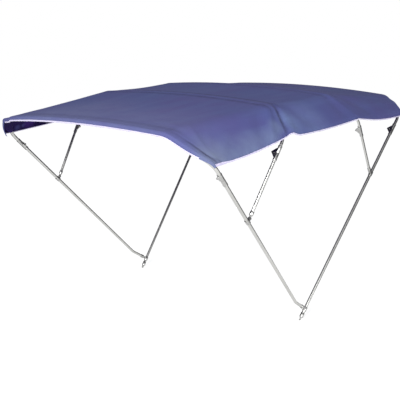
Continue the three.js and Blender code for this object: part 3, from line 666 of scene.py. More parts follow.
# Gathers beside a seam: their height, how near and how far from it they stand, and how far apart. Longer
# waves let them wander and swell, each with its share and its length.
PUCKER, PUCKER_NEAR, PUCKER_REACH, PUCKER_PITCH = 0.0011, 0.004, 0.024, 0.031
WANDER = [(1.9, 0.23), (0.8, 0.087)]
SWELL, SWELL_LENGTH, SWELL_START = 0.45, 0.37, 1.1
SEAM_SHIFT, FAR_SHIFT = 0.37, 5.3
HEM_PUCKER, HEM_PUCKER_IN, HEM_PUCKER_REACH = 1.3, 0.012, 0.022

# Slack corners: how far the sheet stands out from the bow and ahead of it, and where its lip is turned fully
# down. Each step is the stretch of the bow over which it comes in, and how much it adds.
Slack = namedtuple("Slack", "bow side out ahead turned")
SLACK = [
    Slack(
        0, 1, [(0.77, 0.88, 0.048), (0.92, 1.01, -0.012)],
        [(0.77, 0.88, 0.018), (0.88, 0.96, 0.004)], [(0.76, 0.84, 1)],
    ),
    Slack(3, -1, [(0.79, 0.88, 0.016), (0.94, 1.01, -0.005)], [(0.78, 0.88, 0.008)], []),
]

# How far each panel sinks between its bows, how far its hems hang, and how long it is at the crown.
Panel = namedtuple("Panel", "sag hem_near hem_far length")
PANELS = [
    Panel(0.004, 0.012, 0.005, 0.907),
    Panel(0.011, 0.012, 0.012, 0.636),
    Panel(0.009, 0.018, 0.014, 1.001),
]
HEM_STEP = {"panel": 1, "part": 0.085, "width": 0.055, "lift": 0.019, "from": 0.88}

# Folds as soft ridges (+) and troughs (-). Along counts bows, and across runs from -1 at the near hem to 1
# at the far one. A fold is soft at its ends, and none comes near a bow.
FOLD_CLEAR, HEM_CLEAR = 0.06, 0.05
FOLD_ENDS = (0.15, 0.85)
Fold = namedtuple("Fold", "along across to_along to_across width height")
FOLD_ALONG, FOLD_ACROSS = 0.85, 1.0
FOLDS = [
    Fold(1.050, -0.72, 1.032, -1.00, 0.022, -0.011),
    Fold(1.10, -0.76, 1.12, -1.00, 0.040, 0.005),
    Fold(0.82, -1.00, 0.975, -0.72, 0.036, 0.008),
    Fold(0.68, -0.97, 0.86, -0.74, 0.050, -0.006),
    Fold(1.22, -0.78, 1.45, -0.98, 0.060, -0.007),
    Fold(0.06, -0.96, 0.40, -0.72, 0.050, -0.007),
    Fold(0.08, -0.99, 0.55, -0.90, 0.045, -0.006),
    Fold(0.08, -0.90, 0.14, -0.60, 0.040, -0.005),
    Fold(0.05, -1.00, 0.22, -0.70, 0.018, 0.003),
    Fold(0.05, -0.99, 0.34, -0.76, 0.020, 0.003),
    Fold(0.06, -1.00, 0.42, -0.86, 0.020, 0.003),
    Fold(0.055, -0.97, 0.045, -0.62, 0.012, -0.003),
    Fold(0.10, -0.86, 0.20, -0.55, 0.022, 0.0025),
    Fold(1.85, -0.99, 1.93, -0.74, 0.055, -0.006),
    Fold(2.12, -0.76, 2.40, -0.97, 0.070, -0.007),
    Fold(0.10, 0.98, 0.30, 0.78, 0.050, -0.008),
    Fold(1.12, 0.76, 1.06, 1.00, 0.048, -0.008),
]


def fold_height(along, across, folds):
    """Height of all the folds over a grid of places on the sheet."""
    place = np.stack(np.broadcast_arrays(along * FOLD_ALONG, across * FOLD_ACROSS), axis=-1)
    height = np.zeros(place.shape[:2])
    for fold in folds:
        start = np.array([fold.along * FOLD_ALONG, fold.across * FOLD_ACROSS])
        line = np.array([fold.to_along * FOLD_ALONG, fold.to_across * FOLD_ACROSS]) - start
        t = np.clip((place - start) @ line / (line @ line), 0, 1)
        away = np.linalg.norm(place - start - t[..., None] * line, axis=-1) / fold.width
        height += fold.height * np.exp(-away**2) * np.sin(math.pi * mix(*FOLD_ENDS, t))
    return height


def gathers(run):
    """Uneven little waves of cloth that thread has drawn up, by distance along the seam."""
    beat = math.tau * run / PUCKER_PITCH
    for share, length in WANDER:
        beat = beat + share * np.sin(math.tau * run / length)
    swell = np.sin(math.tau * run / SWELL_LENGTH + SWELL_START)
    return np.sin(beat) * ((1 - SWELL) + SWELL * swell)


def run_of(points):
    return np.concatenate([[0], np.cumsum(np.linalg.norm(np.diff(points, axis=0), axis=1))])


class Lie:
    """How the sheet lies over the four bows, worked out for one row of stations across it."""

    def __init__(self, across):
        self.across = np.asarray(across, dtype=float)
        self.a = np.abs(self.across)
        self.centre, self.out, self.aft, self.ridge = [], [], [], []
        lines = [bow_points(bow, self.across) for bow in BOWS]
        self.run = run_of(lines[2])
        for i, bow in enumerate(BOWS):
            tangent = unit(bow_points(bow, self.across + NUDGE) - bow_points(bow, self.across - NUDGE))
            lengthwise = unit(lines[min(i + 1, 3)] - lines[max(i - 1, 0)])
            out = unit(np.cross(lengthwise, tangent))
            aft = unit(np.cross(tangent, out))
            off = bow.tube + REST + CANVAS / 2 + HEM_LIFT * smooth(LIFT_FROM, 1, self.a)
            off = off + self.slack(i, "out")
            ahead = self.slack(i, "ahead") * (-1 if i == 0 else 1)
            ridge = lines[i] + out * off[:, None] + aft * ahead[:, None]
            self.centre.append(lines[i])
            self.out.append(out)
            self.aft.append(aft)
            self.ridge.append(ridge)

    def slack(self, i, measure):
        """How much a slack corner adds to one of the sheet's measures at each station."""
        added = np.zeros(len(self.across))
        for corner in SLACK:
            if corner.bow == i:
                for start, full, amount in getattr(corner, measure):
                    added += amount * smooth(start, full, self.a) * (self.across * corner.side > 0)
        return added

    def panel(self, panel, parts):
        """Middle of the sheet between two bows, a row for each part of the way aft."""
        t = np.asarray(parts, dtype=float)[:, None]
        made = PANELS[panel]
        points = mix(self.ridge[panel], self.ridge[panel + 1], t[..., None])
        out = unit(mix(self.out[panel], self.out[panel + 1], t[..., None]))
        wave = np.sin(math.pi * t)
        clear = smooth(0, FOLD_CLEAR, t) * smooth(0, FOLD_CLEAR, 1 - t)
        sunk = made.sag * wave * (1 - smooth(BEND_FROM, 1, self.a))
        rise = clear * fold_height(panel + t, self.across, FOLDS) - sunk
        rise = rise + self.drawn_up(panel, t)
        points = points + out * rise[..., None]
        hem = np.where(self.across < 0, made.hem_near, made.hem_far)
        points[..., 2] -= hem * wave * smooth(HANG_FROM, 1, self.a)
        if panel == HEM_STEP["panel"]:
            near = np.exp(-(((t - HEM_STEP["part"]) / HEM_STEP["width"]) ** 2))
            near = near * smooth(HEM_STEP["from"], 1, self.a)
            points[..., 2] += HEM_STEP["lift"] * near * (self.across < 0)
        return points

    def drawn_up(self, panel, t):
        """How thread shapes the sheet: a groove along each seam, and gathers beside seams and hems."""
        rise = np.zeros((len(t), len(self.across)))
        held = 1 - smooth(*SEAM_FADES, self.a)
        for number, (at, part) in enumerate(SEAMS):
            if at == panel:
                off = (t - part) * PANELS[panel].length
                near = np.exp(-((off / PUCKER_REACH) ** 2)) * (1 - np.exp(-((off / PUCKER_NEAR) ** 2)))
                waves = gathers(self.run + SEAM_SHIFT * number)
                groove = SEAM_DEEP * np.exp(-((off / SEAM_WIDE) ** 2))
                rise -= held * (groove + 0.5 * PUCKER * near * (1 + waves))
        run = (panel + t) * FOLD_ALONG
        from_hem = (HEM_AT - self.a) * FOLD_ACROSS - HEM_PUCKER_IN
        near = np.exp(-((from_hem / HEM_PUCKER_REACH) ** 2)) * (from_hem > 0)
        ends = smooth(0, HEM_CLEAR, t) * smooth(0, HEM_CLEAR, 1 - t)
        waves = gathers(run + np.where(self.across < 0, 0, FAR_SHIFT))
        return rise + ends * near * HEM_PUCKER * PUCKER * waves

    def lip(self, i):
        """The turned-down lip of an end bow: its axis, radius, ways out and away, turn and length."""
        away = self.aft[i] * (-1 if i == 0 else 1)
        wrap = 1 - LIP_EASE * (1 - self.slack(i, "turned")) * smooth(EASE_FROM, EASE_TO, self.a)
        radius = BOWS[i].tube + REST + CANVAS / 2
        return self.ridge[i] - self.out[i] * radius, radius, self.out[i], away, wrap, LIP * wrap

    def round_end(self, i, share):
        """A row on the round of the lip, share 0 on the ridge and 1 where the round ends."""
        axis, radius, out, away, wrap, _ = self.lip(i)
        angle = (wrap * math.pi / 2 * share)[:, None]
        return axis + radius * (out * np.cos(angle) + away * np.sin(angle))

    def hanging(self, i, off, reach):
        """A row beside the lip's free end: off outwards from the sheet, and reach past the end."""
        axis, radius, out, away, wrap, length = self.lip(i)
        angle = (wrap * math.pi / 2)[:, None]
        facing = out * np.cos(angle) + away * np.sin(angle)
        down = away * np.cos(angle) - out * np.sin(angle)
        off = np.reshape(radius + off, (-1, 1))
        return axis + facing * off + down * np.maximum(length + reach, LIP_LEAST)[:, None]


def evenly(low, high, count):
    """Stations across the bows that lie at even distances along the cloth."""
    fine = np.linspace(low, high, 801)
    run = run_of(bow_points(bow_3, fine))
    return np.interp(np.linspace(0, run[-1], count), run, fine)


def panel_parts(panel):
    """Parts of a panel's length at which the sheet has rows: close together at the bows and at the seams."""
    length = PANELS[panel].length
    near = np.array(ROWS_AT_BOW) / length
    count = round((1 - 2 * near[-1]) * length / AFT_STEP) + 1
    parts = np.concatenate([near, np.linspace(near[-1], 1 - near[-1], count)[1:-1], 1 - near[::-1]])
    for at, part in SEAMS:
        if at == panel:
            parts = parts[np.abs(parts - part) * length > 1.5 * SEAM_ROW]
            parts = np.concatenate([parts, part + np.array([-SEAM_ROW, 0, SEAM_ROW]) / length])
    return np.sort(parts)


def sheet_mesh(name, grid, thickness, outer, inner, painted_shade=None):
    """A thin closed sheet of cloth on a grid of middle points, its outer face along rows x columns.
    Its UV map runs along the cloth in metres, so that a weave keeps its scale."""
    rows, columns = grid.shape[:2]
    normal = unit(np.cross(np.gradient(grid, axis=0), np.gradient(grid, axis=1)))
    points = np.concatenate([(grid + normal * way * thickness / 2).reshape(-1, 3) for way in (1, -1)])
    index = np.arange(rows * columns).reshape(rows, columns)
    back = index + rows * columns
    top = np.stack([index[:-1, :-1], index[1:, :-1], index[1:, 1:], index[:-1, 1:]], axis=-1).reshape(-1, 4)
    under = np.stack([back[:-1, :-1], back[:-1, 1:], back[1:, 1:], back[1:, :-1]], axis=-1).reshape(-1, 4)
    rim = np.concatenate([index[:-1, 0], index[-1, :-1], index[:0:-1, -1], index[0, :0:-1]])
    edge = np.stack([rim, rim + rows * columns, np.roll(rim, -1) + rows * columns, np.roll(rim, -1)], axis=-1)
    faces = np.concatenate([top, under, edge])
    mesh = bpy.data.meshes.new(name)
    mesh.from_pydata(points.tolist(), [], faces.tolist())
    along = np.repeat(run_of(grid[:, columns // 2]), columns)
    sideways = np.tile(run_of(grid[rows // 2]), rows)
    place = np.tile(np.stack([sideways, along], axis=1), (2, 1))
    layer = mesh.uv_layers.new(name="cloth")
    layer.data.foreach_set("uv", place[faces.ravel()].ravel())
    # The painted shade of seams and creases goes on both faces, as an attribute that darkens the cloth.
    if painted_shade is not None:
        layer = mesh.attributes.new("painted_shade", "FLOAT", "POINT")
        layer.data.foreach_set("value", np.tile(painted_shade.ravel(), 2))
    mesh.materials.append(outer)
    mesh.materials.append(inner)
    side = np.zeros(len(faces), dtype=np.int32)
    side[len(top):len(top) + len(under)] = 1
    mesh.polygons.foreach_set("material_index", side)
    mesh.shade_smooth()
    mesh.set_sharp_from_angle(angle=math.radians(CREASE_ANGLE))
    return new_object(name, mesh)


WEAVE_DEEP = 0.0002


def woven(name, pitch, colours, faded_and_lit_patches=(), **constants):
    """Plain woven cloth. Its threads are bump, and its dye is uneven, in clouds and in faint streaks. It is
    darker where its shade attribute says, which is painted shade. Each lighter patch, partly fading and
    partly painted light, is a middle, a reach, an amount and a colour."""
    finish = Finish(name, **constants)
    cloth = finish.add("ShaderNodeUVMap", {"uv_map": "cloth"})
    over, under = [
        finish.add("ShaderNodeSeparateXYZ", {}, {0: cloth}, way) * (math.tau / pitch) for way in (0, 1)
    ]
    threads = over.maths("SINE", over) * under.maths("SINE", under)
    place = finish.add("ShaderNodeTexCoord", output="Object")
    clouds = finish.noise(place, scale=1.7, detail=3.0, roughness=0.6)
    stretched = finish.add("ShaderNodeMapping", {}, {"Vector": cloth, "Scale": (9.0, 1.2, 1.0)})
    streaks = finish.noise(stretched, scale=1.0, detail=3.0, roughness=0.6)
    dark, plain, pale = [(*colour, 1) for colour in colours]
    dyed = finish.blend(clouds * 2.4 - 0.75, plain, dark)
    dyed = finish.blend(streaks * 1.5 - 0.70, dyed, pale)
    # Lighter patches: partly fading, partly painted light.
    for middle, reach, amount, colour in faded_and_lit_patches:
        away = finish.add("ShaderNodeVectorMath", {"operation": "DISTANCE"}, {0: place, 1: middle}, 1)
        share = finish.add("ShaderNodeMapRange", {"interpolation_type": "SMOOTHSTEP"}, {
            "Value": away, "From Min": reach, "From Max": 0.15 * reach, "To Min": 0.0, "To Max": amount,
        })
        ragged = finish.noise(cloth, scale=9.0, detail=3.0, roughness=0.6) * 1.4 + 0.3
        dyed = finish.blend(share * ragged, dyed, (*colour, 1))
    if faded_and_lit_patches:
        # Painted shade: the cloth is darker, in specks, where the sheet's shade attribute says.
        shade_amount = finish.add("ShaderNodeAttribute", {"attribute_name": "painted_shade"}, output="Fac")
        specks = finish.noise(cloth, scale=24.0, detail=3.0, roughness=0.7) * 1.6 - 0.2
        dyed = finish.blend(shade_amount * specks, dyed, (*(0.3 * part for part in colours[0]), 1))
    finish.feed("Base Color", dyed)
    slubs = finish.noise(cloth, scale=420.0)
    finish.bump(threads * 0.5 + slubs, 0.5, WEAVE_DEEP)
    return finish.material


canvas = woven(
    "canvas", 0.0011, [(0.078, 0.070, 0.212), (0.067, 0.084, 0.228), (0.088, 0.118, 0.265)],
    # Lighter patches over the front panel and along the near flank: partly fading, partly painted light where
    # these face the light.
    faded_and_lit_patches=[
        ((-1.22, 0.25, 1.42), 0.75, 0.70, (0.118, 0.130, 0.262)),
        ((-1.20, -0.45, 1.42), 0.60, 0.60, (0.112, 0.126, 0.262)),
        ((-1.09, -0.95, 1.36), 0.20, 0.75, (0.165, 0.200, 0.290)),
        ((-0.90, -0.96, 1.32), 0.20, 0.55, (0.140, 0.180, 0.290)),
        ((-0.75, -0.95, 1.35), 0.17, 0.60, (0.140, 0.180, 0.300)),
        ((-0.60, -0.94, 1.40), 0.12, 0.60, (0.140, 0.185, 0.310)),
        ((-0.50, -0.91, 1.45), 0.09, 0.70, (0.140, 0.185, 0.310)),
        ((-0.34, -0.91, 1.47), 0.15, 0.85, (0.125, 0.170, 0.340)),
        ((-0.12, -0.92, 1.45), 0.24, 0.50, (0.120, 0.160, 0.320)),
    ],
    roughness=0.9, sheen_weight=0.02, sheen_roughness=0.45, specular_ior_level=0.12,
)
# The underside is the same navy canvas. Its colours are made near black as painted shade, so that it looks
# shaded under the bright floor.
canvas_under = woven(
    "canvas_under", 0.0011, [(0.004, 0.001, 0.026), (0.009, 0.003, 0.046), (0.026, 0.014, 0.090)],
    # Lighter patches inside the far corner: painted light on folds.
    faded_and_lit_patches=[
        ((-1.036, 0.94, 1.31), 0.038, 0.8, (0.050, 0.052, 0.170)),
        ((-0.99, 0.94, 1.325), 0.026, 0.7, (0.050, 0.052, 0.170)),
        ((-0.945, 0.94, 1.34), 0.065, 0.6, (0.045, 0.018, 0.150)),
        ((-1.12, 0.90, 1.28), 0.060, 0.6, (0.045, 0.022, 0.160)),
    ],
    roughness=0.9, specular_ior_level=0.08,
)

lie = Lie(evenly(-HEM_AT, HEM_AT, COLUMNS))
hang = [lie.hanging(0, 0, -share * (LIP - 0.001)) for share in LIP_ROWS]
rolled = [lie.round_end(0, share) for share in np.linspace(1, 0, ROUND_ROWS)[:-1]]
spread = [row for panel in range(3) for row in lie.panel(panel, panel_parts(panel)[:-1])]
unrolled = [lie.ridge[3]] + [lie.round_end(3, share) for share in np.linspace(0, 1, ROUND_ROWS)[1:]]
unhung = [lie.hanging(3, 0, -share * (LIP - 0.001)) for share in LIP_ROWS[::-1]]
canopy_grid = np.array(hang + rolled + spread + unrolled + unhung)

# Painted shade: the sheet is darker in creases and along each seam, more over the inner bows.
CREASES = [
    Fold(1.045, -0.72, 1.030, -0.97, 0.020, 0.95),
    Fold(0.036, -1.00, 0.046, -0.84, 0.012, 1.00),
    Fold(0.040, -0.95, 0.090, -0.99, 0.012, 0.60),
]
SHADED_SEAMS = {(0, 0.955): 1.0, (0, 0.930): 0.5, (1, 0.100): 1.0, (1, 0.070): 0.6, (2, 0.070): 0.6}
SHADED_ELSEWHERE, SHADE_WIDE, SHADE_FADES = 0.35, 0.006, (0.70, 0.82)


def painted_seam_shade(lie):
    """How dark the painted shade is at each place of the sheet, on the same grid as the sheet itself."""
    lengths = [PANELS[panel].length for panel in range(3)]
    rows = [np.zeros((len(hang) + len(rolled), len(lie.across)))]
    for panel in range(3):
        off = panel_parts(panel)[:-1, None] * lengths[panel]
        shade_amount = np.zeros((len(off), len(lie.across)))
        for at, part in SEAMS:
            if at == panel:
                from_seam = off - part * lengths[panel]
                amount = SHADED_SEAMS.get((at, part), SHADED_ELSEWHERE)
                shade_amount += amount * np.exp(-((from_seam / SHADE_WIDE) ** 2))
        shade_amount *= 1 - smooth(*SHADE_FADES, lie.a)
        rows.append(shade_amount + fold_height(panel + panel_parts(panel)[:-1, None], lie.across, CREASES))
    rows.append(np.zeros((len(unrolled) + len(unhung), len(lie.across))))
    return np.clip(np.concatenate(rows), 0, 1)


canopy = sheet_mesh("canopy_sheet", canopy_grid, CANVAS, canvas, canvas_under, painted_seam_shade(lie))
fit(canopy, "canvas", "canopy")

# The pockets.
# Strips of the same canvas sewn under the sheet, each a tunnel for one bow. Those of the end bows reach
# further down the flanks and come up behind the turned-down lip, and the inner ones stop at the shoulders.

STRIP = 0.0012
SEWN = 0.00035
UNDER = CANVAS / 2 + SEWN + STRIP / 2
PASS = 0.0026
STRIP_BILLOW, BILLOW_REACH, BILLOW_CLEAR = 0.0011, 0.045, 0.012
STRIP_COLUMNS = 105
STRIP_CORNER, STRIP_STEP = 0.007, 0.006
SEAM_NUDGE = 0.002

# One row a pocket: the stretch of its bow, and the seams by number, aft ones first.
Pocket = namedtuple("Pocket", "bow low high aft fore")
POCKETS = [
    Pocket(0, -0.88, 0.96, (1, 0), ()),
    Pocket(1, -0.80, 0.80, (5, 4), (3, 2)),
    Pocket(2, -0.80, 0.80, (9, 8), (7, 6)),
    Pocket(3, -0.80, 0.88, (), (11, 10)),
]


def along_seam(lie, number, off):
    """A row along one of the seams, at a distance above the middle of the sheet."""
    panel, part = SEAMS[number]
    fore, here, aft = lie.panel(panel, [part - SEAM_NUDGE, part, part + SEAM_NUDGE])
    return here + unit(np.cross(aft - fore, np.gradient(here, axis=0))) * off


def beside_tube(lie, i, aftward, outward):
    """A row beside a bow, at distances that may change along it."""
    aftward, outward = np.reshape(aftward, (-1, 1)), np.reshape(outward, (-1, 1))
    return lie.centre[i] + lie.aft[i] * aftward + lie.out[i] * outward


def under_tube(lie, i):
    reach = BOWS[i].tube + PASS
    low = 0.001 - BOWS[i].tube
    return [beside_tube(lie, i, reach, low), beside_tube(lie, i, 0, -reach), beside_tube(lie, i, -reach, low)]


def up_to_lip(lie, i):
    """From below an end bow's tube to the back of the lip. In the slack corner it first passes the tube."""
    way = -1 if i == 0 else 1
    r, loose = BOWS[i].tube, lie.slack(i, "turned")
    diagonal = (r + PASS + 0.0014) * math.sqrt(0.5)
    below = beside_tube(lie, i, way * mix(0.004, diagonal, loose), mix(-r - PASS - 0.0003, -diagonal, loose))
    ahead, up = mix(0.0075, r + PASS + 0.0009, loose), mix(-r - 0.0008, -0.003, loose)
    before = beside_tube(lie, i, way * ahead, up)
    return [below, before, lie.hanging(i, -UNDER - 0.004 * loose, -0.0032), lie.hanging(i, -UNDER, 0)]


def eased_corners(rows, reach, steps=5):
    """The same strip with each corner of its section rounded, and long flat stretches divided into rows."""
    made = [rows[0]]
    for before, corner, after in zip(rows, rows[1:], rows[2:]):
        ends = []
        for other in (before, after):
            length = np.linalg.norm(other - corner, axis=1, keepdims=True)
            ends.append(corner + (other - corner) * np.minimum(reach / length, 0.46))
        for t in np.linspace(0, 1, steps):
            made.append(mix(mix(ends[0], corner, t), mix(corner, ends[1], t), t))
    made.append(rows[-1])
    full = [made[0]]
    for start, end in zip(made, made[1:]):
        parts = max(1, round(float(np.median(np.linalg.norm(end - start, axis=1))) / STRIP_STEP))
        full += [mix(start, end, k / parts) for k in range(1, parts + 1)]
    return np.array(full)


def billowed(grid):
    """Loose cloth between seam and tube stands in and out a little, by the same gathers as its seam."""
    gap = np.linalg.norm(np.diff(grid, axis=0), axis=2)
    run = np.concatenate([np.zeros((1, grid.shape[1])), np.cumsum(gap, axis=0)])
    free = sum(np.sin(math.pi * np.clip(side / BILLOW_REACH, 0, 1)) for side in (run, run[-1] - run))
    free *= np.minimum(1, np.minimum(run, run[-1] - run) / BILLOW_CLEAR)
    normal = unit(np.cross(np.gradient(grid, axis=0), np.gradient(grid, axis=1)))
    waves = gathers(run_of(grid[0])) * 0.5 + 0.5
    return grid + normal * (free * waves * STRIP_BILLOW)[..., None]


for pocket in POCKETS:
    lie = Lie(evenly(pocket.low, pocket.high, round((pocket.high - pocket.low) * STRIP_COLUMNS)))
    rows = [along_seam(lie, number, -UNDER) for number in pocket.aft]
    if pocket.aft and pocket.fore:
        rows += under_tube(lie, pocket.bow) + [along_seam(lie, number, -UNDER) for number in pocket.fore]
    else:
        end_seams = [along_seam(lie, number, -UNDER) for number in pocket.aft or pocket.fore[::-1]]
        way = -1 if pocket.bow == 0 else 1
        reach = BOWS[pocket.bow].tube + PASS
        tube_side = beside_tube(lie, pocket.bow, -way * reach, 0.001 - BOWS[pocket.bow].tube)
        rows = end_seams + [tube_side, beside_tube(lie, pocket.bow, 0, -reach)] + up_to_lip(lie, pocket.bow)
        rows = rows if pocket.bow == 0 else rows[::-1]
    grid = billowed(eased_corners(rows, STRIP_CORNER))
    name = f"pocket_{pocket.bow + 1}"
    # Both faces of a strip take the underside's near-black colour, which is painted shade.
    strip = sheet_mesh(f"{name}_strip", grid, STRIP, canvas_under, canvas_under)
    fit(strip, "canvas_under", name)

# The bindings.
# White acrylic tape, folded over the raw edges of the sheet and sewn through. Along the hems it is wider for
# a hand's breadth at the front, which shows as a white patch at the near corner.

TAPE = 0.001
TAPE_COVER = 0.008
TAPE_OFF = CANVAS / 2 + 2 * GAP + TAPE / 2
TAPE_IN = TAPE_OFF + STRIP + 2 * SEWN
HEM_OFF = TAPE_OFF + GAP
TAPE_TURN = 0.0009
HEM_COVER, HEM_COVER_WIDE, HEM_COVER_IN = 0.007, 0.015, 0.005
NARROWS = (0.05, 0.13)
EDGE_CURL = 0.00025
TAPE_STEP, LIP_TAPE_COLUMNS = 0.006, 180
STITCH_IN = 0.6

tape = woven(
    "tape", 0.0009, [(0.50, 0.46, 0.66), (0.60, 0.57, 0.72), (0.72, 0.70, 0.80)],
    roughness=0.7, sheen_weight=0.15, sheen_roughness=0.4,
)


def lip_tape(lie, i):
    """Rows of the tape round a lip's free end, from its outer edge under the end to its inner one. In the
    slack corner that inner edge lies flat under the end."""
    path = [
        (TAPE_OFF, -TAPE_COVER), (TAPE_OFF, -0.5 * TAPE_COVER), (TAPE_OFF, 0.0004), (0.6 * TAPE_OFF, 0.0014),
        (0, 0.0019), (-0.5 * TAPE_IN, 0.0016), (-TAPE_IN, 0.0004), (-TAPE_IN, -0.0015),
    ]
    flat = path[:5] + [(-0.0008, 0.0019), (-0.0016, 0.0019), (-0.0032, 0.0018)]
    loose = np.minimum(1, 2 * lie.slack(i, "turned"))
    rows = []
    for (off, reach), (to_off, to_reach) in zip(path, flat):
        rows.append(lie.hanging(i, mix(off, to_off, loose), mix(reach, to_reach, loose)))
    return np.array(rows if i == 0 else rows[::-1])


def hem_parts(panel):
    return np.linspace(0, 1, round(PANELS[panel].length / TAPE_STEP) + 1)


def hem_tape(side):
    """Rows of the tape over a side hem, with its edges standing a hair up between the stitches."""
    near_edge = Lie(side * np.array([HEM_AT, HEM_AT - 0.004]))
    points = np.concatenate([near_edge.panel(panel, hem_parts(panel)[:-1]) for panel in range(3)])
    points = np.concatenate([points, [near_edge.ridge[3]]])
    edge, inner = points[:, 0], points[:, 1]
    down = unit(edge - inner)
    out = unit(np.cross(np.gradient(edge, axis=0), down)) * side
    run = run_of(edge)
    wide = mix(HEM_COVER_WIDE, HEM_COVER, smooth(*NARROWS, run))
    curl = EDGE_CURL * (1 + gathers(run * 1.7))
    path = [
        (HEM_OFF + curl, -wide), (HEM_OFF, -0.5 * wide), (HEM_OFF, 0), (0.7 * HEM_OFF, 0.8 * TAPE_TURN),
        (0, 1.3 * TAPE_TURN), (-0.7 * HEM_OFF, 0.8 * TAPE_TURN), (-HEM_OFF, 0), (-HEM_OFF, -HEM_COVER_IN),
    ]
    rows = []
    for off, reach in path:
        off, reach = (np.reshape(np.broadcast_to(value, run.shape), (-1, 1)) for value in (off, reach))
        rows.append(edge + out * off + down * reach)
    seam = edge + out * (HEM_OFF + TAPE / 2) - down * (0.5 * wide)[:, None]
    return np.array(rows[::-1] if side < 0 else rows), seam


tapes, tape_seams = [], []
for i, node, low, high in [(0, "binding_front", -0.92, 0.84), (3, "binding_aft", -0.80, 0.84)]:
    lie = Lie(evenly(low, high, round((high - low) * LIP_TAPE_COLUMNS)))
    tapes.append(fit(sheet_mesh(f"{node}_tape", lip_tape(lie, i), TAPE, tape, tape), "tape", node))
    tape_seams.append(lie.hanging(i, TAPE_OFF + TAPE / 2, -STITCH_IN * TAPE_COVER)[2:-2])
for tag, side in SIDES.items():
    node = f"binding_side_{tag}"
    grid, seam = hem_tape(side)
    tapes.append(fit(sheet_mesh(f"{node}_tape", grid, TAPE, tape, tape), "tape", node))
    tape_seams.append(seam[2:-2])

# The stitching.
# Lockstitch in bonded thread, navy along the pockets' seams and white through the tapes. Each stitch is a
# short swell of thread that lies on the cloth between two needle holes.

THREAD = 0.00035
STITCH_HALF = 0.00165
STITCH_PITCH = 0.0042
STITCH_SIDES, STITCH_RINGS = 5, 3
LIES_ON = 0.3 * THREAD
SEAM_STATIONS = 300


def stitch_tree():
    """Sets one stitch at every step along a path, laid along it."""
    sizes = {"Pitch": "Float", "Thread": "Float", "Half Length": "Float", "Material": "Material"}
    tree, given, made = nodes_tree("stitch_row", sizes)
    steps = add_node(tree, "GeometryNodeResampleCurve", {"mode": "LENGTH"}, {
        "Curve": given.outputs["Geometry"], "Length": given.outputs["Pitch"],
    })
    swell = add_node(tree, "GeometryNodeMeshUVSphere", {}, {
        "Segments": STITCH_SIDES, "Rings": STITCH_RINGS, "Radius": 1.0,
    })
    size = add_node(tree, "ShaderNodeCombineXYZ", {}, {
        "X": given.outputs["Thread"], "Y": given.outputs["Thread"], "Z": given.outputs["Half Length"],
    })
    heading = add_node(tree, "GeometryNodeInputTangent")
    turn = add_node(tree, "FunctionNodeAlignRotationToVector", {"axis": "Z"}, {
        "Vector": heading.outputs["Tangent"],
    })
    laid = add_node(tree, "GeometryNodeInstanceOnPoints", {}, {
        "Points": steps.outputs["Curve"], "Instance": swell.outputs["Mesh"],
        "Rotation": turn.outputs["Rotation"], "Scale": size.outputs[0],
    })
    return end_tree(tree, given, made, laid.outputs["Instances"])


def thread_finish(name, light, dark):
    """Twisted thread: dye that varies from stitch to stitch."""
    finish = Finish(name, roughness=0.6)
    place = finish.add("ShaderNodeTexCoord", output="Object")
    dye = finish.noise(place, scale=190.0, detail=1.0)
    finish.feed("Base Color", finish.blend(dye, (*dark, 1), (*light, 1)))
    finish.bump(finish.noise(place, scale=3200.0, detail=1.0), 0.4, 0.0001)
    return finish.material


navy_thread = thread_finish("navy_thread", (0.060, 0.060, 0.190), (0.022, 0.020, 0.085))
white_thread = thread_finish("white_thread", (0.84, 0.84, 0.86), (0.60, 0.59, 0.68))
stitch_row = stitch_tree()


def stitched(name, paths, thread, slot):
    piece = grown(name, paths, stitch_row, {
        "Pitch": STITCH_PITCH, "Thread": THREAD, "Half Length": STITCH_HALF, "Material": thread,
    })
    piece.data.shade_smooth()
    return fit(piece, slot)


over, below = [], []
for pocket in POCKETS:
    lie = Lie(evenly(pocket.low + 0.005, pocket.high - 0.005, SEAM_STATIONS))
    for number in pocket.aft + pocket.fore:
        over.append(along_seam(lie, number, CANVAS / 2 + LIES_ON))
        below.append(along_seam(lie, number, -UNDER - STRIP / 2 - LIES_ON))
seam_stitches = stitched("seam_stitches", over, navy_thread, "canvas")
stitched("pocket_stitches", below, navy_thread, "canvas_under")
stitched("tape_stitches", tape_seams, white_thread, "tape")

# The studio.
# A pale floor under the feet, two dark flags, and two soft lights. To the camera the surround is white. In
# reflections it is grey, and darker towards the horizon.

FLOOR_RADIUS = 14.0
CAMERA_AT = (-3.428, -2.844, 1.868)
CAMERA_LOOKS = (0.7324, 0.6354, -0.2446)
LENS = 54.3
LIT_AT = (0, 0, 1.2)

floor_shape = bmesh.new()
bmesh.ops.create_circle(floor_shape, cap_ends=True, segments=96, radius=FLOOR_RADIUS)
floor = as_object("floor", floor_shape)
floor.data.transform(Matrix.Translation((0, 0, cad_box[0][2] - 0.001)))
floor_paint = Finish(
    "floor_paint", base_color=(0.4, 0.4, 0.4, 1), roughness=0.9, emission_color=(1, 1, 1, 1),
    emission_strength=0.80,
)
floor.data.materials.append(floor_paint.material)

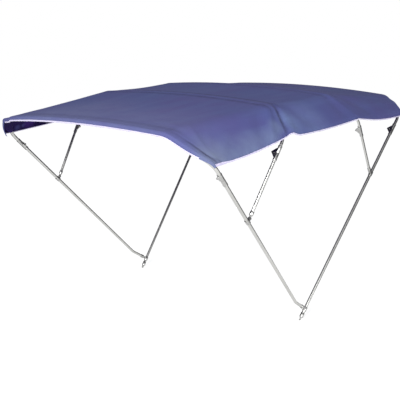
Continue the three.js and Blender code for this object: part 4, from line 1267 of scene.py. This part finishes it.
# Dark flags on either side, seen only in reflections: they draw the tubes' edges.
FLAG_RADIUS, FLAG_HEIGHT = 2.1, 5.0
FLAG_FROM, FLAG_TO = 65, 150
TO_CAMERA = math.degrees(math.atan2(CAMERA_AT[1], CAMERA_AT[0]))
flag_cloth = Finish("flag_cloth", base_color=(0.20, 0.20, 0.20, 1), roughness=1.0, specular_ior_level=0.0)
for tag, side in SIDES.items():
    shape = bmesh.new()
    turns = [math.radians(TO_CAMERA + side * angle) for angle in range(FLAG_FROM, FLAG_TO + 1, 5)]
    posts = [
        [shape.verts.new((FLAG_RADIUS * math.cos(a), FLAG_RADIUS * math.sin(a), z)) for a in turns]
        for z in (0.02, FLAG_HEIGHT)
    ]
    for k in range(len(turns) - 1):
        shape.faces.new((posts[0][k], posts[0][k + 1], posts[1][k + 1], posts[1][k]))
    flag = as_object(f"flag_{tag}", shape)
    flag.data.materials.append(flag_cloth.material)
    flag.visible_camera = flag.visible_diffuse = flag.visible_shadow = flag.visible_transmission = False

world = bpy.data.worlds.new("studio")
bpy.context.scene.world = world
world.use_nodes = True
sky = world.node_tree
heading = add_node(sky, "ShaderNodeTexCoord")
split = add_node(sky, "ShaderNodeSeparateXYZ", {}, {0: heading.outputs["Generated"]})
ramp = add_node(sky, "ShaderNodeValToRGB", {}, {"Fac": split.outputs["Z"]})
low_grey, high_grey = ramp.color_ramp.elements
low_grey.position, low_grey.color = 0.0, (0.06, 0.06, 0.065, 1)
high_grey.position, high_grey.color = 0.80, (0.62, 0.62, 0.64, 1)
seen = add_node(sky, "ShaderNodeLightPath")
shown = add_node(sky, "ShaderNodeMix", {"data_type": "RGBA"}, {
    0: seen.outputs["Is Camera Ray"], 6: ramp.outputs["Color"], 7: (1, 1, 1, 1),
})
sky.links.new(shown.outputs[2], sky.nodes["Background"].inputs["Color"])


def soft_light(name, place, size, watts):
    light = new_object(name, bpy.data.lights.new(name, "AREA"))
    light.data.shape, light.data.size, light.data.energy = "DISK", size, watts
    light.location = place
    light.rotation_euler = (Vector(LIT_AT) - Vector(place)).to_track_quat("-Z", "Y").to_euler()


soft_light("key", (-6.4, -2.6, 4.1), 1.8, 420)
soft_light("fill", (-2.4, -5.6, 1.5), 2.0, 110)

camera = new_object("camera", bpy.data.cameras.new("camera"))
camera.location = CAMERA_AT
camera.rotation_mode = "QUATERNION"
camera.rotation_quaternion = Vector(CAMERA_LOOKS).to_track_quat("-Z", "Y")
camera.data.lens = LENS
bpy.context.scene.camera = camera
bpy.context.scene.view_settings.view_transform = "Standard"
